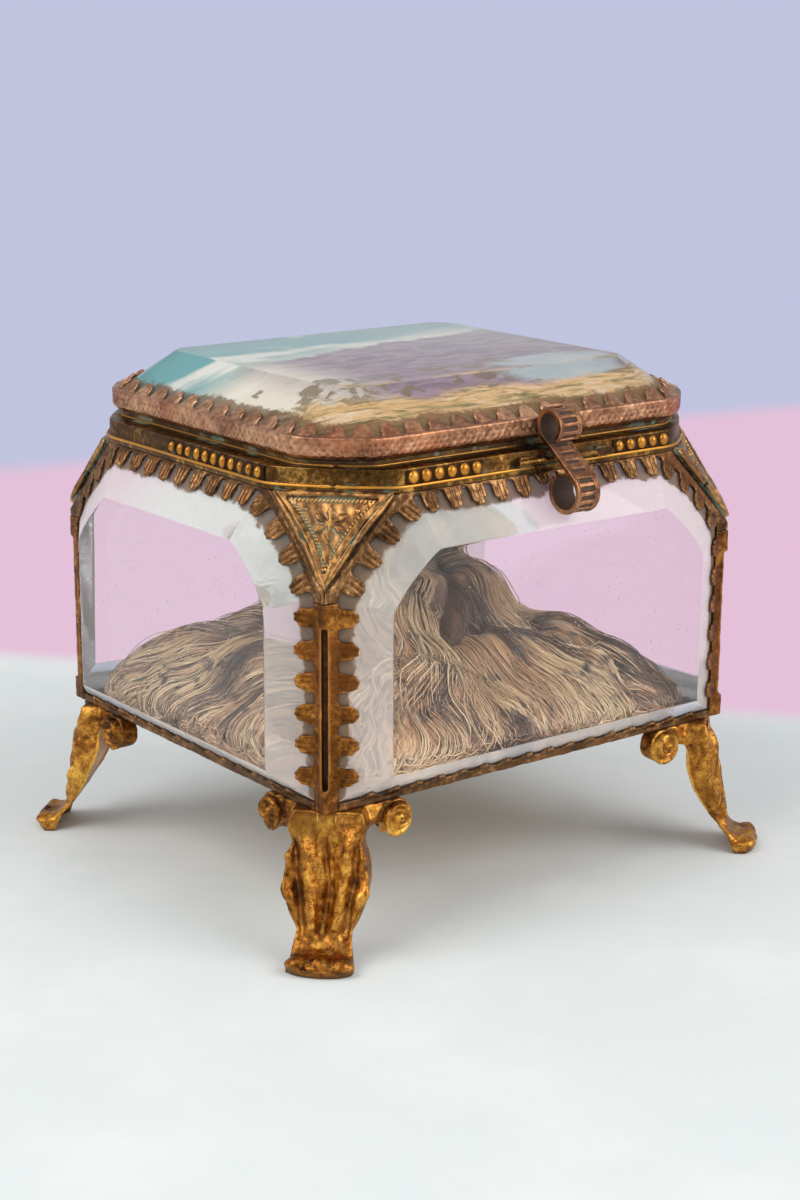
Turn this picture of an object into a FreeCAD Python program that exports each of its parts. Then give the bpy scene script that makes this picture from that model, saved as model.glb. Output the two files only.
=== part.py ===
import FreeCAD, Part
import math
import os

V = FreeCAD.Vector
UP = V(0, 0, 1)

# Footed trinket casket: four bevelled glass panes held by pronged brass gallery strips on four cast
# cabriole feet, a hinged bevelled lid over a printed sheet, a sprung scroll clasp and a tufted cushion.
# Millimetres, +X along the clasp face, the clasp at -Y, the hinge at +Y, the floor at Z = 0.

# body
body_w = 76.0            # across the corner posts, X
body_d = 68.0            # across the corner posts, Y
leg_h = 21.3             # floor to the underside of the posts
strip_w = 2.5            # gallery strip, width on the face
strip_t = 1.6            # gallery strip, depth behind the face
arch_w = 0.6             # arched strip, width over the top of the glass
bottom_rail_h = 1.2      # bottom rail under the glass
bottom_rail_t = 2.2      # bottom rail, depth behind the face
arch_foot = 0.6          # arched strip below the start of the shoulder
spandrel_h = 12.9        # height of the truncated corner
corner_cut = 12.9        # plan width of the truncated corner
corner_bulge = 1.0       # outward bow of the cut corners of band and lid
corner_round = 6.0       # rounding of the upright edges of band and lid rim
band_h = 3.2             # band round the mouth
ledge_h = 1.0            # moulding at the foot of the band
ledge_out = 0.35         # moulding, how far it stands out
lip_h = 0.95             # inner lip that carries the closed lid
lip_t = 1.2              # inner lip, thickness
mouth_in = 2.6           # mouth of the casket inside the outline of the lid
slit_w = 0.9             # slit between the two strips of a post
slit_depth = 1.7         # slit, depth from the corner along the diagonal
slit_end = 3.4           # solid length of a post below and above its slit
base_t = 1.0             # base plate thickness
fit = 0.06               # seat clearance between fixed pieces

# glass panes
pane_h = 41.4            # pane height
pane_recess = 0.4        # pane edge behind the face of the strips
pane_edge = 1.4          # thickness of the pane at its edge
bevel_rise = 4.0         # how far the flat stands out from the edge
bevel_side = 6.4         # plan width of the side bevels
bevel_top = 6.9          # plan width of the top bevel
bevel_bottom = 3.4       # plan width of the bottom bevel
shoulder_h = 12.4        # rounded shoulder, height
shoulder_w = 13.0        # rounded shoulder, width
shoulder_bulge = 1.2     # rounded shoulder, bow outside its chord
bevel_shoulder = 6.7     # plan width of the shoulder bevels

# prongs
tooth_w = 3.0            # prong width at its root
tooth_len = 2.9          # prong length over the glass of a pane
tooth_len_lid = 1.9      # prong length over the lid glass
tooth_len_clasp = 1.6    # prong length behind the clasp
tooth_len_bottom = 1.5   # prong length over the foot of a pane
tooth_neck = 2.4         # prong width where its tip starts
tooth_point = 0.9        # prong width at its blunt end
tooth_tip = 0.9          # length of the prong tip
tooth_t = 0.5            # prong thickness
tooth_pitch = 3.9        # least pitch of the prongs
tooth_root = 0.25        # prong root inside its strip
tooth_lean = 2.0         # degrees by which a prong stands off the bevel

# beads on the band
bead_r = 0.78            # bead radius
bead_top_r = 0.36        # bead radius at its worn top
bead_h = 0.62            # bead height
bead_sides = 8           # flats round a bead
bead_pitch = 2.2         # bead pitch
bead_strip_h = 1.9       # strip under the beads, height
bead_strip_t = 0.35      # strip under the beads, thickness
bead_count_left = 6      # beads on the front, left of the catch wire
bead_count_right = 5     # beads on the front, right of the catch wire
bead_count_side = 11     # beads on each side
bead_inset = 0.8         # end of a bead strip to the end of its straight band

# spandrel ornament
spandrel_t = 0.8         # plate thickness
spandrel_bow = 0.9       # hollow of the two long sides
spandrel_edge = 0.5      # plate outline inside the truncated corner
border_w = 1.0           # raised border, width
border_h = 0.5           # raised border, height
petal_count = 6
petal_len = 2.3          # petal length
petal_w = 1.0            # petal width
relief_h = 0.4           # height of flower and leaf
flower_up = 10.6         # flower centre above the apex, along the slope
eye_r = 0.6              # flower eye radius
leaf_len = 3.4           # leaf below the flower, length
leaf_w = 1.5             # leaf below the flower, width

# lid
lid_gap = 1.1            # shadow gap between band and lid rim
lid_inset = 1.9          # lid rim behind the face of the body
lid_cut = 9.0            # plan width of the cut corners of the lid
lid_rim_h = 3.1          # lid rim height
lid_rim_ease = 0.7       # slope at the foot of the lid rim
lid_rim_t = 1.5          # lid rim wall
lid_flange = 3.4         # flange under the glass, width
lid_flange_t = 0.5       # flange under the glass, thickness
print_t = 0.3            # printed sheet
lid_edge = 2.2           # thickness of the lid glass at its edge
lid_rise = 5.4           # height of the lid bevel
lid_bevel = 8.0          # plan width of the lid bevel

# hinge
pin_r = 0.6              # hinge pin radius
pin_clear = 0.05         # running clearance round the pin
knuckle_r = 1.3          # knuckle radius
knuckle_len = 4.8        # knuckle length
knuckle_gap = 0.25       # gap between knuckles
leaf_t = 0.6             # hinge leaf thickness
leaf_drop = 0.4          # hinge leaf below the foot of the band
hinge_clear = 0.2        # knuckles behind the band

# clasp
clasp_x = 2.0            # clasp centre along the front
clasp_w = 4.1            # strip width
clasp_t = 0.6            # strip thickness
curl_up_r = 2.15         # upper curl, middle radius
curl_low_r = 2.75        # lower curl, middle radius
curl_out = 3.45          # lower curl outward of the upper one
curl_drop = 8.8          # lower curl below the upper one
curl_z = 0.9             # upper curl centre below the rim top
curl_up_turn = 285.0     # turn of the upper curl, degrees
curl_low_turn = 280.0    # turn of the lower curl, degrees
rung_w = 2.6             # ladder recess, across the strip
rung_len = 0.75          # ladder recess, along the strip
rung_depth = 0.25        # ladder recess depth
rung_pitch = 1.35        # ladder recess pitch
cradle_t = 0.5           # cradle wall behind the upper curl
cradle_clear = 0.08      # running clearance of the curl in its cradle
cradle_w = 3.0           # cradle width
cradle_wrap = 65.0       # half angle of the cradle round the curl, degrees

# catch wire
wire_r = 0.48            # wire radius
wire_left = 5.9          # end of the wire from the left row of beads
wire_right = 0.9         # end of the wire from the right row of beads
wire_up = 1.75           # wire centre above the foot of the band
solder_w = 2.2           # solder seat at each end of the wire
solder_h = 1.5           # solder seat height

# feet
foot_in = 1.9            # outer face of the leg behind the corner, along the diagonal
leg_t = 3.9              # leg thickness at its top
leg_w = 9.4              # leg width at its top
waist_z = 16.6           # height of the notch between the leaf lobes
waist_w = 9.6            # width at that notch
knee_z = 11.6            # height of the widest lobe
knee_w = 12.0            # width of the widest lobe
ankle_z = 4.8            # height of the ankle
ankle_w = 7.8            # width of the ankle
ankle_out = 0.9          # ankle outward of the corner
ankle_t = 2.3            # thickness of the ankle
toe_out = 6.4            # toe tip outward of the corner
toe_w = 9.3              # toe width
toe_t = 1.2              # toe thickness at its tip
toe_pad = 2.0            # flat under the toe
rib_w = 1.8              # central rib, width
rib_out = 0.6            # central rib, how far it stands out
arm_len = 12.4           # corner to the centre of a scroll ear
arm_h = 3.3              # arm height
arm_t = 2.2              # arm depth
ear_r = 2.6              # scroll ear radius
ear_t = 3.0              # scroll ear depth
ear_out = 0.5            # scroll ear in front of the face

# cushion
pad_gap = 0.3            # cushion clear of its neighbours
pad_w = 71.0             # cushion width at its belly
pad_d = 63.0             # cushion depth at its belly
pad_corner = 6.0         # plan corner radius
pad_chords = 4           # flats round each corner
pad_tuck = 1.4           # sides drawn in at the base
pad_belly = 2.6          # height of the belly above the base
pad_rim = 5.6            # height at which the crown starts
pad_rim_in = 2.6         # crown start inside the belly
pad_slope = 8.0          # height of the lower slope of the crown
pad_slope_in = 6.2       # lower slope, inside the belly
pad_mid = 9.6            # height half way up the crown
pad_mid_in = 11.4        # half way up the crown, inside the belly
pad_top = 12.0           # height of the upper slope of the crown
pad_top_in = 17.2        # upper slope, inside the belly
pad_crown = 20.4         # height of the crown
pad_crown_in = 23.6      # top of the crown, inside the belly
tuft_r = 6.4             # mouth of the hollow pressed by a tuft
tuft_h = 9.0             # height of that hollow
tuft_button = 0.8        # foot of the hollow
tuft_sides = 8           # folds round a tuft
tuft_depth = 1.5         # tuft depth
tuft_x = 16.5            # tufts from the middle, X
tuft_y = 13.0            # tufts from the middle, Y
tuft_up = 10.6           # tuft height above the base

# derived levels and half sizes
hw = body_w / 2
hd = body_d / 2
z_pane = leg_h + bottom_rail_h + fit
z_pane_top = z_pane + pane_h
z_band = z_pane_top + fit + arch_w
z_band_top = z_band + band_h
z_apex = z_band - spandrel_h
z_arch = min(z_apex, z_pane_top - shoulder_h) - arch_foot
z_lid = z_band_top + lid_gap
z_lid_top = z_lid + lid_rim_h
z_print = z_lid + lid_flange_t
z_lid_glass = z_print + print_t
lid_hw = hw - lid_inset
lid_hd = hd - lid_inset
glass_side = math.degrees(math.atan2(bevel_rise, bevel_side))
glass_top = math.degrees(math.atan2(bevel_rise, bevel_top))
glass_bottom = math.degrees(math.atan2(bevel_rise, bevel_bottom))
glass_shoulder = math.degrees(math.atan2(bevel_rise, bevel_shoulder))
lid_slope = math.degrees(math.atan2(lid_rise, lid_bevel))

# rows of beads and the catch wire along the straight stretch of the band
band_end_x = hw - corner_cut - bead_inset
band_end_y = hd - corner_cut - bead_inset
beads_left_end = -band_end_x + bead_count_left * bead_pitch
beads_right_end = band_end_x - bead_count_right * bead_pitch
wire_x0 = beads_left_end + wire_left
wire_len = beads_right_end - wire_right - wire_x0

nodes = {}


def box(x0, x1, y0, y1, z0, z1):
    return Part.makeBox(x1 - x0, y1 - y0, z1 - z0, V(x0, y0, z0))


def frame(origin, xdir, ydir):
    xdir = V(xdir).normalize()
    zdir = xdir.cross(ydir).normalize()
    ydir = zdir.cross(xdir)
    return FreeCAD.Placement(FreeCAD.Matrix(
        xdir.x, ydir.x, zdir.x, origin.x,
        xdir.y, ydir.y, zdir.y, origin.y,
        xdir.z, ydir.z, zdir.z, origin.z,
        0, 0, 0, 1))


def placed(shape, placement):
    copy = shape.copy()
    copy.Placement = placement.multiply(copy.Placement)
    return copy


def bowed(start, end, bow, away):
    """Arc between two points whose middle lies bow outside the chord, away from the point away."""
    middle = (start + end) * 0.5
    side = middle - away
    chord = (end - start).normalize()
    side = (side - chord * side.dot(chord)).normalize()
    return Part.Arc(start, middle + side * bow, end).toShape()


def line(start, end):
    return Part.LineSegment(start, end).toShape()


def fuse(first, others):
    return first.multiFuse(others).removeSplitter() if others else first


def flat(points):
    return Part.Face(Part.makePolygon(points + points[:1]))


def skin(rings):
    """Solid with flat faces between rings of points that run parallel, closed at both ends."""
    faces = [flat(rings[0]), flat(rings[-1])]
    for low, high in zip(rings[:-1], rings[1:]):
        for i in range(len(low)):
            j = (i + 1) % len(low)
            faces.append(flat([low[i], low[j], high[j], high[i]]))
    solid = Part.makeSolid(Part.makeShell(faces))
    if solid.Volume < 0:
        solid.reverse()
    return solid


def ngon(centre, radius, sides, first, second):
    """Corners of a regular polygon in the plane of two directions."""
    turns = [2 * math.pi * (i + 0.5) / sides for i in range(sides)]
    return [centre + first * (radius * math.cos(a)) + second * (radius * math.sin(a)) for a in turns]


# prongs: one flat tab with a blunt tip, set along straight and curved edges

def tooth_blank(length):
    half = tooth_w / 2
    outline = [V(-half, -tooth_root, 0), V(half, -tooth_root, 0)]
    outline += [V(tooth_neck / 2, length - tooth_tip, 0), V(tooth_point / 2, length, 0)]
    outline += [V(-tooth_point / 2, length, 0), V(-tooth_neck / 2, length - tooth_tip, 0)]
    return flat(outline).extrude(V(0, 0, tooth_t))


TOOTH = tooth_blank(tooth_len)
TOOTH_LID = tooth_blank(tooth_len_lid)
TOOTH_CLASP = tooth_blank(tooth_len_clasp)
TOOTH_BOTTOM = tooth_blank(tooth_len_bottom)


def tooth_at(point, inward, outward, slope, blank=TOOTH):
    angle = math.radians(slope + tooth_lean)
    along = inward * math.cos(angle) + outward * math.sin(angle)
    lift = outward * math.cos(angle) - inward * math.sin(angle)
    return placed(blank, frame(point, along.cross(lift), along))


def tooth_run(start, end, inward, outward, slope, clasp_room=None, blank=TOOTH):
    """Row of prongs; those nearer than their own width to the point clasp_room are the short ones."""
    length = (end - start).Length
    count = int(length / tooth_pitch)
    step = (end - start) * (1.0 / count)
    teeth = []
    for i in range(count):
        point = start + step * (i + 0.5)
        near = clasp_room is not None and (point - clasp_room).Length < (tooth_w + clasp_w) / 2 + fit
        teeth.append(tooth_at(point, inward, outward, slope, TOOTH_CLASP if near else blank))
    return teeth


def tooth_arc(edge, centre, outward, slope, blank=TOOTH):
    count = int(edge.Length / tooth_pitch)
    teeth = []
    for i in range(count):
        at = edge.FirstParameter + (edge.LastParameter - edge.FirstParameter) * (i + 0.5) / count
        point = edge.valueAt(at)
        tangent = edge.tangentAt(at)
        inward = outward.cross(tangent).normalize()
        if inward.dot(centre - point) < 0:
            inward = inward * -1
        teeth.append(tooth_at(point, inward, outward, slope, blank))
    return teeth


# panes: upright sheets in the XZ plane, facing -Y, later turned to their sides

def arch_edges(half, low, high, wide, tall, bow, y):
    """Left half, top and right half of an arched outline, from the lower left to the lower right."""
    centre = V(0, y, (low + high) / 2)
    left = [V(-half, y, low), V(-half, y, high - tall), V(-half + wide, y, high)]
    right = [V(half - wide, y, high), V(half, y, high - tall), V(half, y, low)]
    return [
        line(left[0], left[1]),
        bowed(left[1], left[2], bow, centre),
        line(left[2], right[0]),
        bowed(right[0], right[1], bow, centre),
        line(right[1], right[2])]


def bevel_tool(edge, width, rise, outward, centre):
    """What a grinding wheel takes off along one edge of a slab: a wedge, straight or turned round an arc."""
    start = edge.Vertexes[0].Point
    end = edge.Vertexes[-1].Point
    arc = isinstance(edge.Curve, Part.Circle)
    at = edge.FirstParameter if edge.valueAt(edge.FirstParameter).isEqual(start, 1e-6) else edge.LastParameter
    inward = outward.cross(edge.tangentAt(at)).normalize()
    if inward.dot(centre - start) < 0:
        inward = inward * -1
    over = 1.5
    reach = width + rise
    corners = [
        start,
        start + inward * (width * over) + outward * (rise * over),
        start - inward * reach + outward * (rise * over),
        start - inward * reach]
    if not arc:
        along = end - start
        extra = along.normalize() * reach
        return flat([c - extra for c in corners]).extrude(end - start + extra * 2)
    axis = edge.Curve.Center
    first = start - axis
    last = end - axis
    turn = math.degrees(math.atan2(first.cross(last).dot(outward), first.dot(last)))
    return flat(corners).revolve(axis, outward if turn > 0 else outward * -1, abs(turn))


def bevelled_slab(edges, widths, thick, rise, outward, centre):
    """Slab with a thin edge whose front is ground back along every edge of its outline."""
    face = Part.Face(Part.Wire(edges))
    face.translate(outward * -thick)
    slab = face.extrude(outward * (thick + rise))
    for edge, width in zip(edges, widths):
        slab = slab.cut(bevel_tool(edge, width, rise, outward, centre))
    return slab


def pane(half_face, face_y):
    half = half_face - strip_w - fit
    edge_y = face_y + pane_recess
    edges = arch_edges(half, z_pane, z_pane_top, shoulder_w, shoulder_h, shoulder_bulge, edge_y)
    edges.append(line(V(half, edge_y, z_pane), V(-half, edge_y, z_pane)))
    widths = [bevel_side, bevel_shoulder, bevel_top, bevel_shoulder, bevel_side, bevel_bottom]
    centre = V(0, edge_y, (z_pane + z_pane_top) / 2)
    return bevelled_slab(edges, widths, pane_edge, bevel_rise, V(0, -1, 0), centre)


def corner_keep(half_face, face_y, side):
    """Wedge on the outer side of the mitre between two faces, to cut from the strip of one face."""
    big = body_w + body_d
    start = V(side * (half_face - fit / 2), face_y, 0)
    wedge = flat([
        start,
        start + V(-side * big, big, 0),
        start + V(side * big, big, 0),
        start + V(side * big, 0, 0)])
    return wedge.extrude(UP * (2 * z_lid_top))


def corner_slope(half_face, face_y, side):
    """Half space outside the plane of the truncated corner."""
    apex = V(side * half_face, face_y, z_apex)
    first = V(side * (half_face - corner_cut), face_y, z_band)
    second = V(side * half_face, face_y + corner_cut, z_band)
    across = (second - first).normalize()
    rise = ((first + second) * 0.5 - apex).normalize()
    normal = across.cross(rise)
    if normal.z < 0:
        normal = normal * -1
    far = body_w
    plane = flat([
        apex - across * far - rise * far,
        apex + across * far - rise * far,
        apex + across * far + rise * far,
        apex - across * far + rise * far])
    return plane.extrude(normal * far)


def top_rail(half_face, face_y, with_clasp=False):
    half = half_face - strip_w
    opening = arch_edges(half, z_arch, z_pane_top + fit, shoulder_w, shoulder_h, shoulder_bulge, face_y)
    outer = [V(half_face, face_y, z_arch), V(half_face, face_y, z_band)]
    outer += [V(-half_face, face_y, z_band), V(-half_face, face_y, z_arch)]
    inner_end = opening[-1].Vertexes[-1].Point
    inner_start = opening[0].Vertexes[0].Point
    path = [inner_end] + outer + [inner_start]
    sides = [line(path[i], path[i + 1]) for i in range(len(path) - 1)]
    plate = Part.Face(Part.Wire(opening + sides)).extrude(V(0, strip_t, 0))
    for side in (-1, 1):
        plate = plate.cut(corner_keep(half_face, face_y, side))
        plate = plate.cut(corner_slope(half_face, face_y, side))
    seat = V(0, pane_recess - fit, 0)
    out = V(0, -1, 0)
    centre = V(0, face_y, z_arch)
    teeth = []
    for arc in (opening[1], opening[3]):
        moved = arc.copy()
        moved.translate(seat)
        teeth += tooth_arc(moved, centre + seat, out, glass_shoulder)
    start = opening[2].Vertexes[0].Point + seat
    end = opening[2].Vertexes[1].Point + seat
    room = V(clasp_x, start.y, start.z) if with_clasp else None
    teeth += tooth_run(start, end, UP * -1, out, glass_top, room)
    return fuse(plate, teeth)


def bottom_rail(half_face, face_y):
    half = half_face - strip_w - fit
    bar = box(-half, half, face_y, face_y + bottom_rail_t, leg_h, leg_h + bottom_rail_h)
    seat_y = face_y + pane_recess - fit
    z = leg_h + bottom_rail_h
    start = V(-half + tooth_len + fit, seat_y, z)
    end = V(half - tooth_len - fit, seat_y, z)
    return fuse(bar, tooth_run(start, end, UP, V(0, -1, 0), glass_bottom, None, TOOTH_BOTTOM))


def corner_post():
    """Post of the corner at -X, -Y: two pronged strips with a slit between them."""
    corner = V(-hw, -hd, 0)
    bar = box(-hw, -hw + strip_w, -hd, -hd + strip_w, leg_h, z_arch - fit)
    slot = Part.makeBox(2 * slit_depth, slit_w, z_arch - leg_h - 2 * slit_end, V(-slit_depth, -slit_w / 2, 0))
    slot.rotate(V(0, 0, 0), UP, 45)
    slot.translate(corner + UP * (leg_h + slit_end))
    bar = bar.cut(slot)
    low = z_pane + tooth_len_bottom
    high = z_arch - fit
    seat = pane_recess - fit
    front = V(-hw + strip_w, -hd + seat, 0)
    left = V(-hw + seat, -hd + strip_w, 0)
    teeth = tooth_run(front + UP * low, front + UP * high, V(1, 0, 0), V(0, -1, 0), glass_side)
    teeth += tooth_run(left + UP * low, left + UP * high, V(0, 1, 0), V(-1, 0, 0), glass_side)
    return fuse(bar, teeth)


# spandrel of the corner at -X, -Y, drawn in the plane of the truncated corner

def kite(start, length, width):
    widest = start + length * 0.6
    return flat([V(0, start, 0), V(width / 2, widest, 0), V(0, start + length, 0), V(-width / 2, widest, 0)])


def spandrel_face(inset):
    reach = math.hypot(corner_cut / math.sqrt(2), spandrel_h)
    wide = corner_cut / math.sqrt(2)
    slope = math.hypot(wide, reach)
    low = inset * slope / wide
    high = reach - inset
    half = (high - low) * wide / reach
    apex = V(0, low, 0)
    left = V(-half, high, 0)
    right = V(half, high, 0)
    middle = V(0, low + (high - low) * 2 / 3, 0)
    return Part.Face(Part.Wire([
        bowed(right, apex, -spandrel_bow, middle),
        bowed(apex, left, -spandrel_bow, middle),
        line(left, right)]))


def spandrel():
    plate = spandrel_face(spandrel_edge).extrude(V(0, 0, spandrel_t))
    rim = spandrel_face(spandrel_edge).cut(spandrel_face(spandrel_edge + border_w))
    rim = rim.extrude(V(0, 0, spandrel_t + border_h))
    relief = [rim]
    flower = V(0, flower_up, spandrel_t / 2)
    high = spandrel_t / 2 + relief_h
    for i in range(petal_count):
        petal = kite(eye_r / 2, petal_len, petal_w).extrude(UP * high)
        petal.rotate(V(0, 0, 0), UP, 360.0 * i / petal_count)
        petal.translate(flower)
        relief.append(petal)
    relief.append(flat(ngon(flower, eye_r, petal_count, V(0, 1, 0), V(1, 0, 0))).extrude(UP * high))
    leaf = kite(0, leaf_len, leaf_w).extrude(UP * high)
    leaf.translate(flower - V(0, eye_r + petal_len + leaf_len, 0))
    relief.append(leaf)
    plate = fuse(plate, relief)
    apex = V(-hw, -hd, z_apex)
    first = V(-hw + corner_cut, -hd, z_band)
    second = V(-hw, -hd + corner_cut, z_band)
    rise = (first + second) * 0.5 - apex
    seat = frame(apex, first - second, rise)
    lift = seat.Rotation.multVec(UP) * fit
    seat.Base = seat.Base + lift
    plate = placed(plate, seat)
    roof = box(-body_w, 0, -body_d, 0, z_band - fit, z_band + body_w)
    return plate.cut(roof)


# band, lid and printed sheet: octagons with bowed corners

def octagon(half_x, half_y, cut, bulge, z):
    points = []
    for sx, sy in ((-1, -1), (1, -1), (1, 1), (-1, 1)):
        on_x = V(sx * (half_x - cut), sy * half_y, z)
        on_y = V(sx * half_x, sy * (half_y - cut), z)
        points += [on_y, on_x] if sx * sy > 0 else [on_x, on_y]
    edges = []
    for i in range(8):
        start = points[i]
        end = points[(i + 1) % 8]
        if i % 2 == 0:
            edges.append(bowed(start, end, bulge, V(0, 0, z)))
        else:
            edges.append(line(start, end))
    return Part.Wire(edges)


def inset_octagon(half_x, half_y, cut, inset, z):
    small = cut - inset * (2 - math.sqrt(2))
    return octagon(half_x - inset, half_y - inset, small, corner_bulge, z)


def prism(half_x, half_y, cut, inset, z0, z1):
    return Part.Face(inset_octagon(half_x, half_y, cut, inset, z0)).extrude(UP * (z1 - z0))


def rounded_prism(half_x, half_y, cut, inset, z0, z1):
    """Octagonal block whose upright edges are rounded."""
    block = prism(half_x, half_y, cut, inset, z0, z1)
    upright = [e for e in block.Edges if abs(e.Vertexes[0].Point.z - e.Vertexes[-1].Point.z) > fit]
    return block.makeFillet(corner_round, upright)


def top_frame():
    mouth = prism(lid_hw, lid_hd, lid_cut, mouth_in, z_band, z_lid_top)
    band = rounded_prism(hw, hd, corner_cut, 0, z_band, z_band_top)
    ledge = rounded_prism(hw, hd, corner_cut, -ledge_out, z_band, z_band + ledge_h)
    lip = prism(lid_hw, lid_hd, lid_cut, mouth_in - lip_t, z_band, z_band_top + lip_h)
    return fuse(band, [ledge, lip]).cut(mouth)


def bead_strip(x0, count, face_y):
    length = count * bead_pitch
    z = z_band + ledge_h + fit + bead_strip_h / 2
    y = face_y - fit
    strip = box(x0, x0 + length, y - bead_strip_t, y, z - bead_strip_h / 2, z + bead_strip_h / 2)
    beads = []
    for i in range(count):
        centre = V(x0 + (i + 0.5) * bead_pitch, y - bead_strip_t, z)
        base = ngon(centre, bead_r, bead_sides, V(1, 0, 0), UP)
        beads.append(skin([base, ngon(centre - V(0, bead_h, 0), bead_top_r, bead_sides, V(1, 0, 0), UP)]))
    return fuse(strip, beads)


def lid_rim():
    block = rounded_prism(lid_hw, lid_hd, lid_cut, 0, z_lid, z_lid_top)
    foot_edges = [e for e in block.Edges if e.BoundBox.ZMax < z_lid + fit]
    block = block.makeChamfer(lid_rim_ease, foot_edges)
    seat = prism(lid_hw, lid_hd, lid_cut, lid_rim_t, z_lid + lid_flange_t, z_lid_top)
    window = prism(lid_hw, lid_hd, lid_cut, lid_rim_t + lid_flange, z_lid, z_lid_top)
    z = z_lid_glass + lid_edge + fit
    edge = inset_octagon(lid_hw, lid_hd, lid_cut, lid_rim_t, z)
    teeth = []
    for side in edge.Edges:
        teeth += tooth_arc(side, V(0, 0, z), UP, lid_slope, TOOTH_LID)
    return fuse(block.cut(seat).cut(window), teeth)


def lid_glass():
    z = z_lid_glass + lid_edge
    edges = inset_octagon(lid_hw, lid_hd, lid_cut, lid_rim_t + fit, z).Edges
    return bevelled_slab(edges, [lid_bevel] * len(edges), lid_edge, lid_rise, UP, V(0, 0, z))


def lid_print():
    sheet = Part.Face(inset_octagon(lid_hw, lid_hd, lid_cut, lid_rim_t + fit, z_print))
    return sheet.extrude(UP * (print_t - fit))


# hinge behind the band

hinge_y = hd + ledge_out + hinge_clear + knuckle_r
hinge_z = z_band_top + lid_gap / 2
knuckle_step = knuckle_len + knuckle_gap
hinge_start = -2.5 * knuckle_step + knuckle_gap / 2


def knuckle(index):
    start = V(hinge_start + index * knuckle_step, hinge_y, hinge_z)
    barrel = Part.makeCylinder(knuckle_r, knuckle_len, start, V(1, 0, 0))
    return barrel


def bored(shape):
    bore = Part.makeCylinder(pin_r + pin_clear, 6 * knuckle_step, V(-3 * knuckle_step, hinge_y, hinge_z), V(1, 0, 0))
    return shape.cut(bore)


def hinge_leaf_body():
    y0 = hd + ledge_out + fit
    pieces = []
    for i in (0, 2, 4):
        x0 = hinge_start + i * knuckle_step
        pieces.append(knuckle(i))
        pieces.append(box(x0, x0 + knuckle_len, y0, y0 + leaf_t, z_band, hinge_z))
    x0 = hinge_start
    x1 = hinge_start + 4 * knuckle_step + knuckle_len
    plate = box(x0, x1, y0, y0 + leaf_t, z_band - leaf_drop, z_band_top - knuckle_r)
    seat = box(x0, x1, hd + fit, y0 + leaf_t, z_band + ledge_h + fit, z_band_top - knuckle_r)
    return bored(fuse(plate, pieces + [seat]))


def hinge_leaf_lid():
    y0 = lid_hd + fit
    pieces = []
    for i in (1, 3):
        x0 = hinge_start + i * knuckle_step
        z1 = hinge_z + knuckle_r
        pieces.append(knuckle(i))
        pieces.append(box(x0, x0 + knuckle_len, y0, hinge_y, z1 - leaf_t, z1))
    x0 = hinge_start + knuckle_step
    x1 = hinge_start + 3 * knuckle_step + knuckle_len
    plate = box(x0, x1, y0, y0 + leaf_t, hinge_z + knuckle_r - leaf_t, z_lid_top - fit)
    return bored(fuse(plate, pieces))


def hinge_pin():
    length = 4 * knuckle_step + knuckle_len
    return Part.makeCylinder(pin_r, length, V(hinge_start, hinge_y, hinge_z), V(1, 0, 0))


# clasp: a strip bent to a letter S, drawn in the YZ plane, outward along -Y

curl_up_out = curl_up_r + clasp_t / 2
clasp_y = -lid_hd - fit - cradle_t - cradle_clear - curl_up_out
clasp_z = z_lid_top - curl_z
clasp_axis = V(0, clasp_y, clasp_z)
low_y = clasp_y - curl_out
low_z = clasp_z - curl_drop
span = math.hypot(curl_out, curl_drop)
bend = math.atan2(-curl_drop, curl_out) + math.asin((curl_up_r + curl_low_r) / span)


def polar(cy, cz, radius, angle):
    return V(0, cy - radius * math.cos(angle), cz + radius * math.sin(angle))


def curl(cy, cz, radius, start, turn):
    """Bent strip round a centre, from start clockwise through turn, angles from -Y towards +Z."""
    steps = 4
    edges = []
    angles = [start - turn * i / steps for i in range(steps + 1)]
    for r, order in ((radius + clasp_t / 2, angles), (radius - clasp_t / 2, angles[::-1])):
        for a, b in zip(order[:-1], order[1:]):
            points = [polar(cy, cz, r, a), polar(cy, cz, r, (a + b) / 2), polar(cy, cz, r, b)]
            edges.append(Part.Arc(*points).toShape())
    outer = edges[:steps]
    inner = edges[steps:]
    wire = Part.Wire(
        outer + [line(outer[-1].Vertexes[-1].Point, inner[0].Vertexes[0].Point)]
        + inner + [line(inner[-1].Vertexes[-1].Point, outer[0].Vertexes[0].Point)])
    face = Part.Face(wire)
    face.translate(V(clasp_x - clasp_w / 2, 0, 0))
    return face.extrude(V(clasp_w, 0, 0))


def rung(point, outward):
    tool = Part.makeBox(rung_w, rung_len, 2 * rung_depth, V(-rung_w / 2, -rung_len / 2, -rung_depth))
    along = outward.cross(V(1, 0, 0))
    return placed(tool, frame(point + V(clasp_x, 0, 0), V(1, 0, 0), along))


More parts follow.
